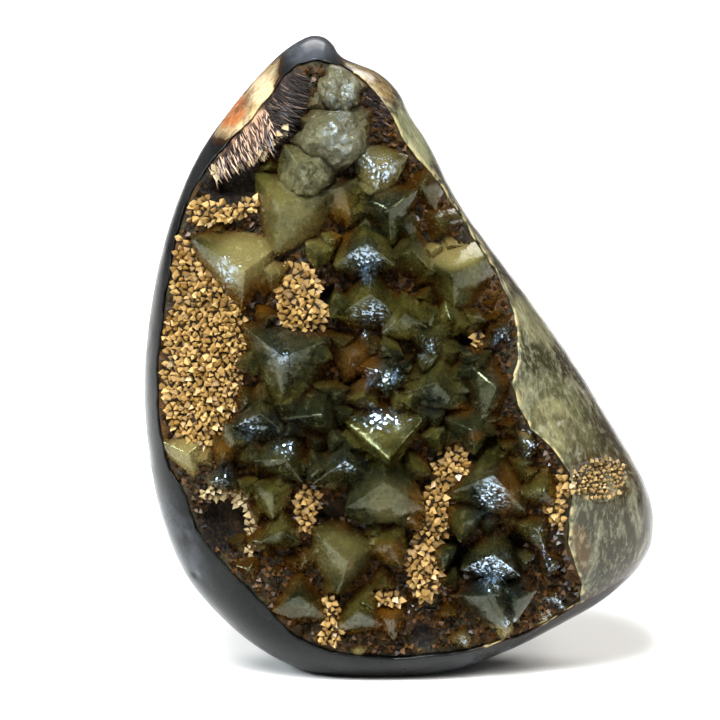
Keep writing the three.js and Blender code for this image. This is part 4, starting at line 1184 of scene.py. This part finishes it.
def softbox(name, place_at, aim, size, power, tint):
    """A square lamp that faces a point."""
    lamp = bpy.data.lights.new(name, "AREA")
    lamp.shape, lamp.size, lamp.energy, lamp.color = "SQUARE", size, power, tint
    box = bpy.data.objects.new(name, lamp)
    box.location = place_at
    box.rotation_euler = (Vector(aim) - Vector(place_at)).to_track_quat("-Z", "Y").to_euler()
    bpy.context.scene.collection.objects.link(box)


def studio():
    """A plain floor, soft lamps, daylight from above and an even world, white where the camera sees it."""
    corners = FLOOR_REACH * np.array([[-1, -1, 0], [1, -1, 0], [1, 1, 0], [-1, 1, 0]])
    floor = mesh_piece("floor", corners, [[0, 1, 2, 3]], shaded_smooth=False)
    floor.data.materials.append(floor_finish())
    world = bpy.data.worlds.new("studio")
    world.use_nodes = True
    nodes, links = world.node_tree.nodes, world.node_tree.links
    backdrop, shine = nodes["Background"], nodes.new("ShaderNodeBackground")
    for shade, strength in ((backdrop, BACKDROP_LIGHT), (shine, ROOM_LIGHT)):
        shade.inputs["Color"].default_value = (1, 1, 1, 1)
        shade.inputs["Strength"].default_value = strength
    path, both = nodes.new("ShaderNodeLightPath"), nodes.new("ShaderNodeMixShader")
    links.new(path.outputs["Is Camera Ray"], both.inputs[0])
    links.new(shine.outputs[0], both.inputs[1])
    links.new(backdrop.outputs[0], both.inputs[2])
    links.new(both.outputs[0], nodes["World Output"].inputs["Surface"])
    bpy.context.scene.world = world
    for lamp in LAMPS:
        softbox(*lamp)
    daylight = bpy.data.lights.new("daylight", "SUN")
    daylight.energy, daylight.angle = DAYLIGHT, math.radians(DAYLIGHT_SPREAD)
    sky = bpy.data.objects.new("daylight", daylight)
    sky.rotation_euler = [math.radians(turn) for turn in DAYLIGHT_TURN]
    bpy.context.scene.collection.objects.link(sky)
    view = bpy.context.scene.view_settings
    view.view_transform, view.look = "Standard", "None"


def camera():
    """A long lens that looks at its target from the front, a little from above."""
    target = Vector(CAMERA_TARGET)
    tilt = math.radians(CAMERA_ELEVATION)
    lens = bpy.data.cameras.new("camera")
    lens.lens, lens.sensor_width = CAMERA_LENS, 36
    lens.clip_start, lens.clip_end = 0.01, 20
    eye = bpy.data.objects.new("camera", lens)
    eye.location = target + CAMERA_DISTANCE * Vector((0, -math.cos(tilt), math.sin(tilt)))
    eye.rotation_euler = (target - eye.location).to_track_quat("-Z", "Y").to_euler()
    bpy.context.scene.collection.objects.link(eye)
    bpy.context.scene.camera = eye


# The stone

def finish_piece(piece, material, slot, *nodes):
    """Gives a piece its one material and body, and hides the solids that it replaces. The slot is not used."""
    piece.data.materials.clear()
    piece.data.materials.append(material)
    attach(piece, "root")
    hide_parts(*nodes)


finish_piece(polished_stone(), stone_finish(), "polished_stone", "stone_body")
finish_piece(lining(), lining_finish(), "druse", "crystal_crust")
finish_piece(crystal_union(), calcite_finish(), "calcite")
grains = druse_finish()
finish_piece(druse(), grains, "druse")
finish_piece(dip_druse(), grains, "druse")
finish_piece(fibre_blades(), fibre_finish(), "druse")
studio()
camera()
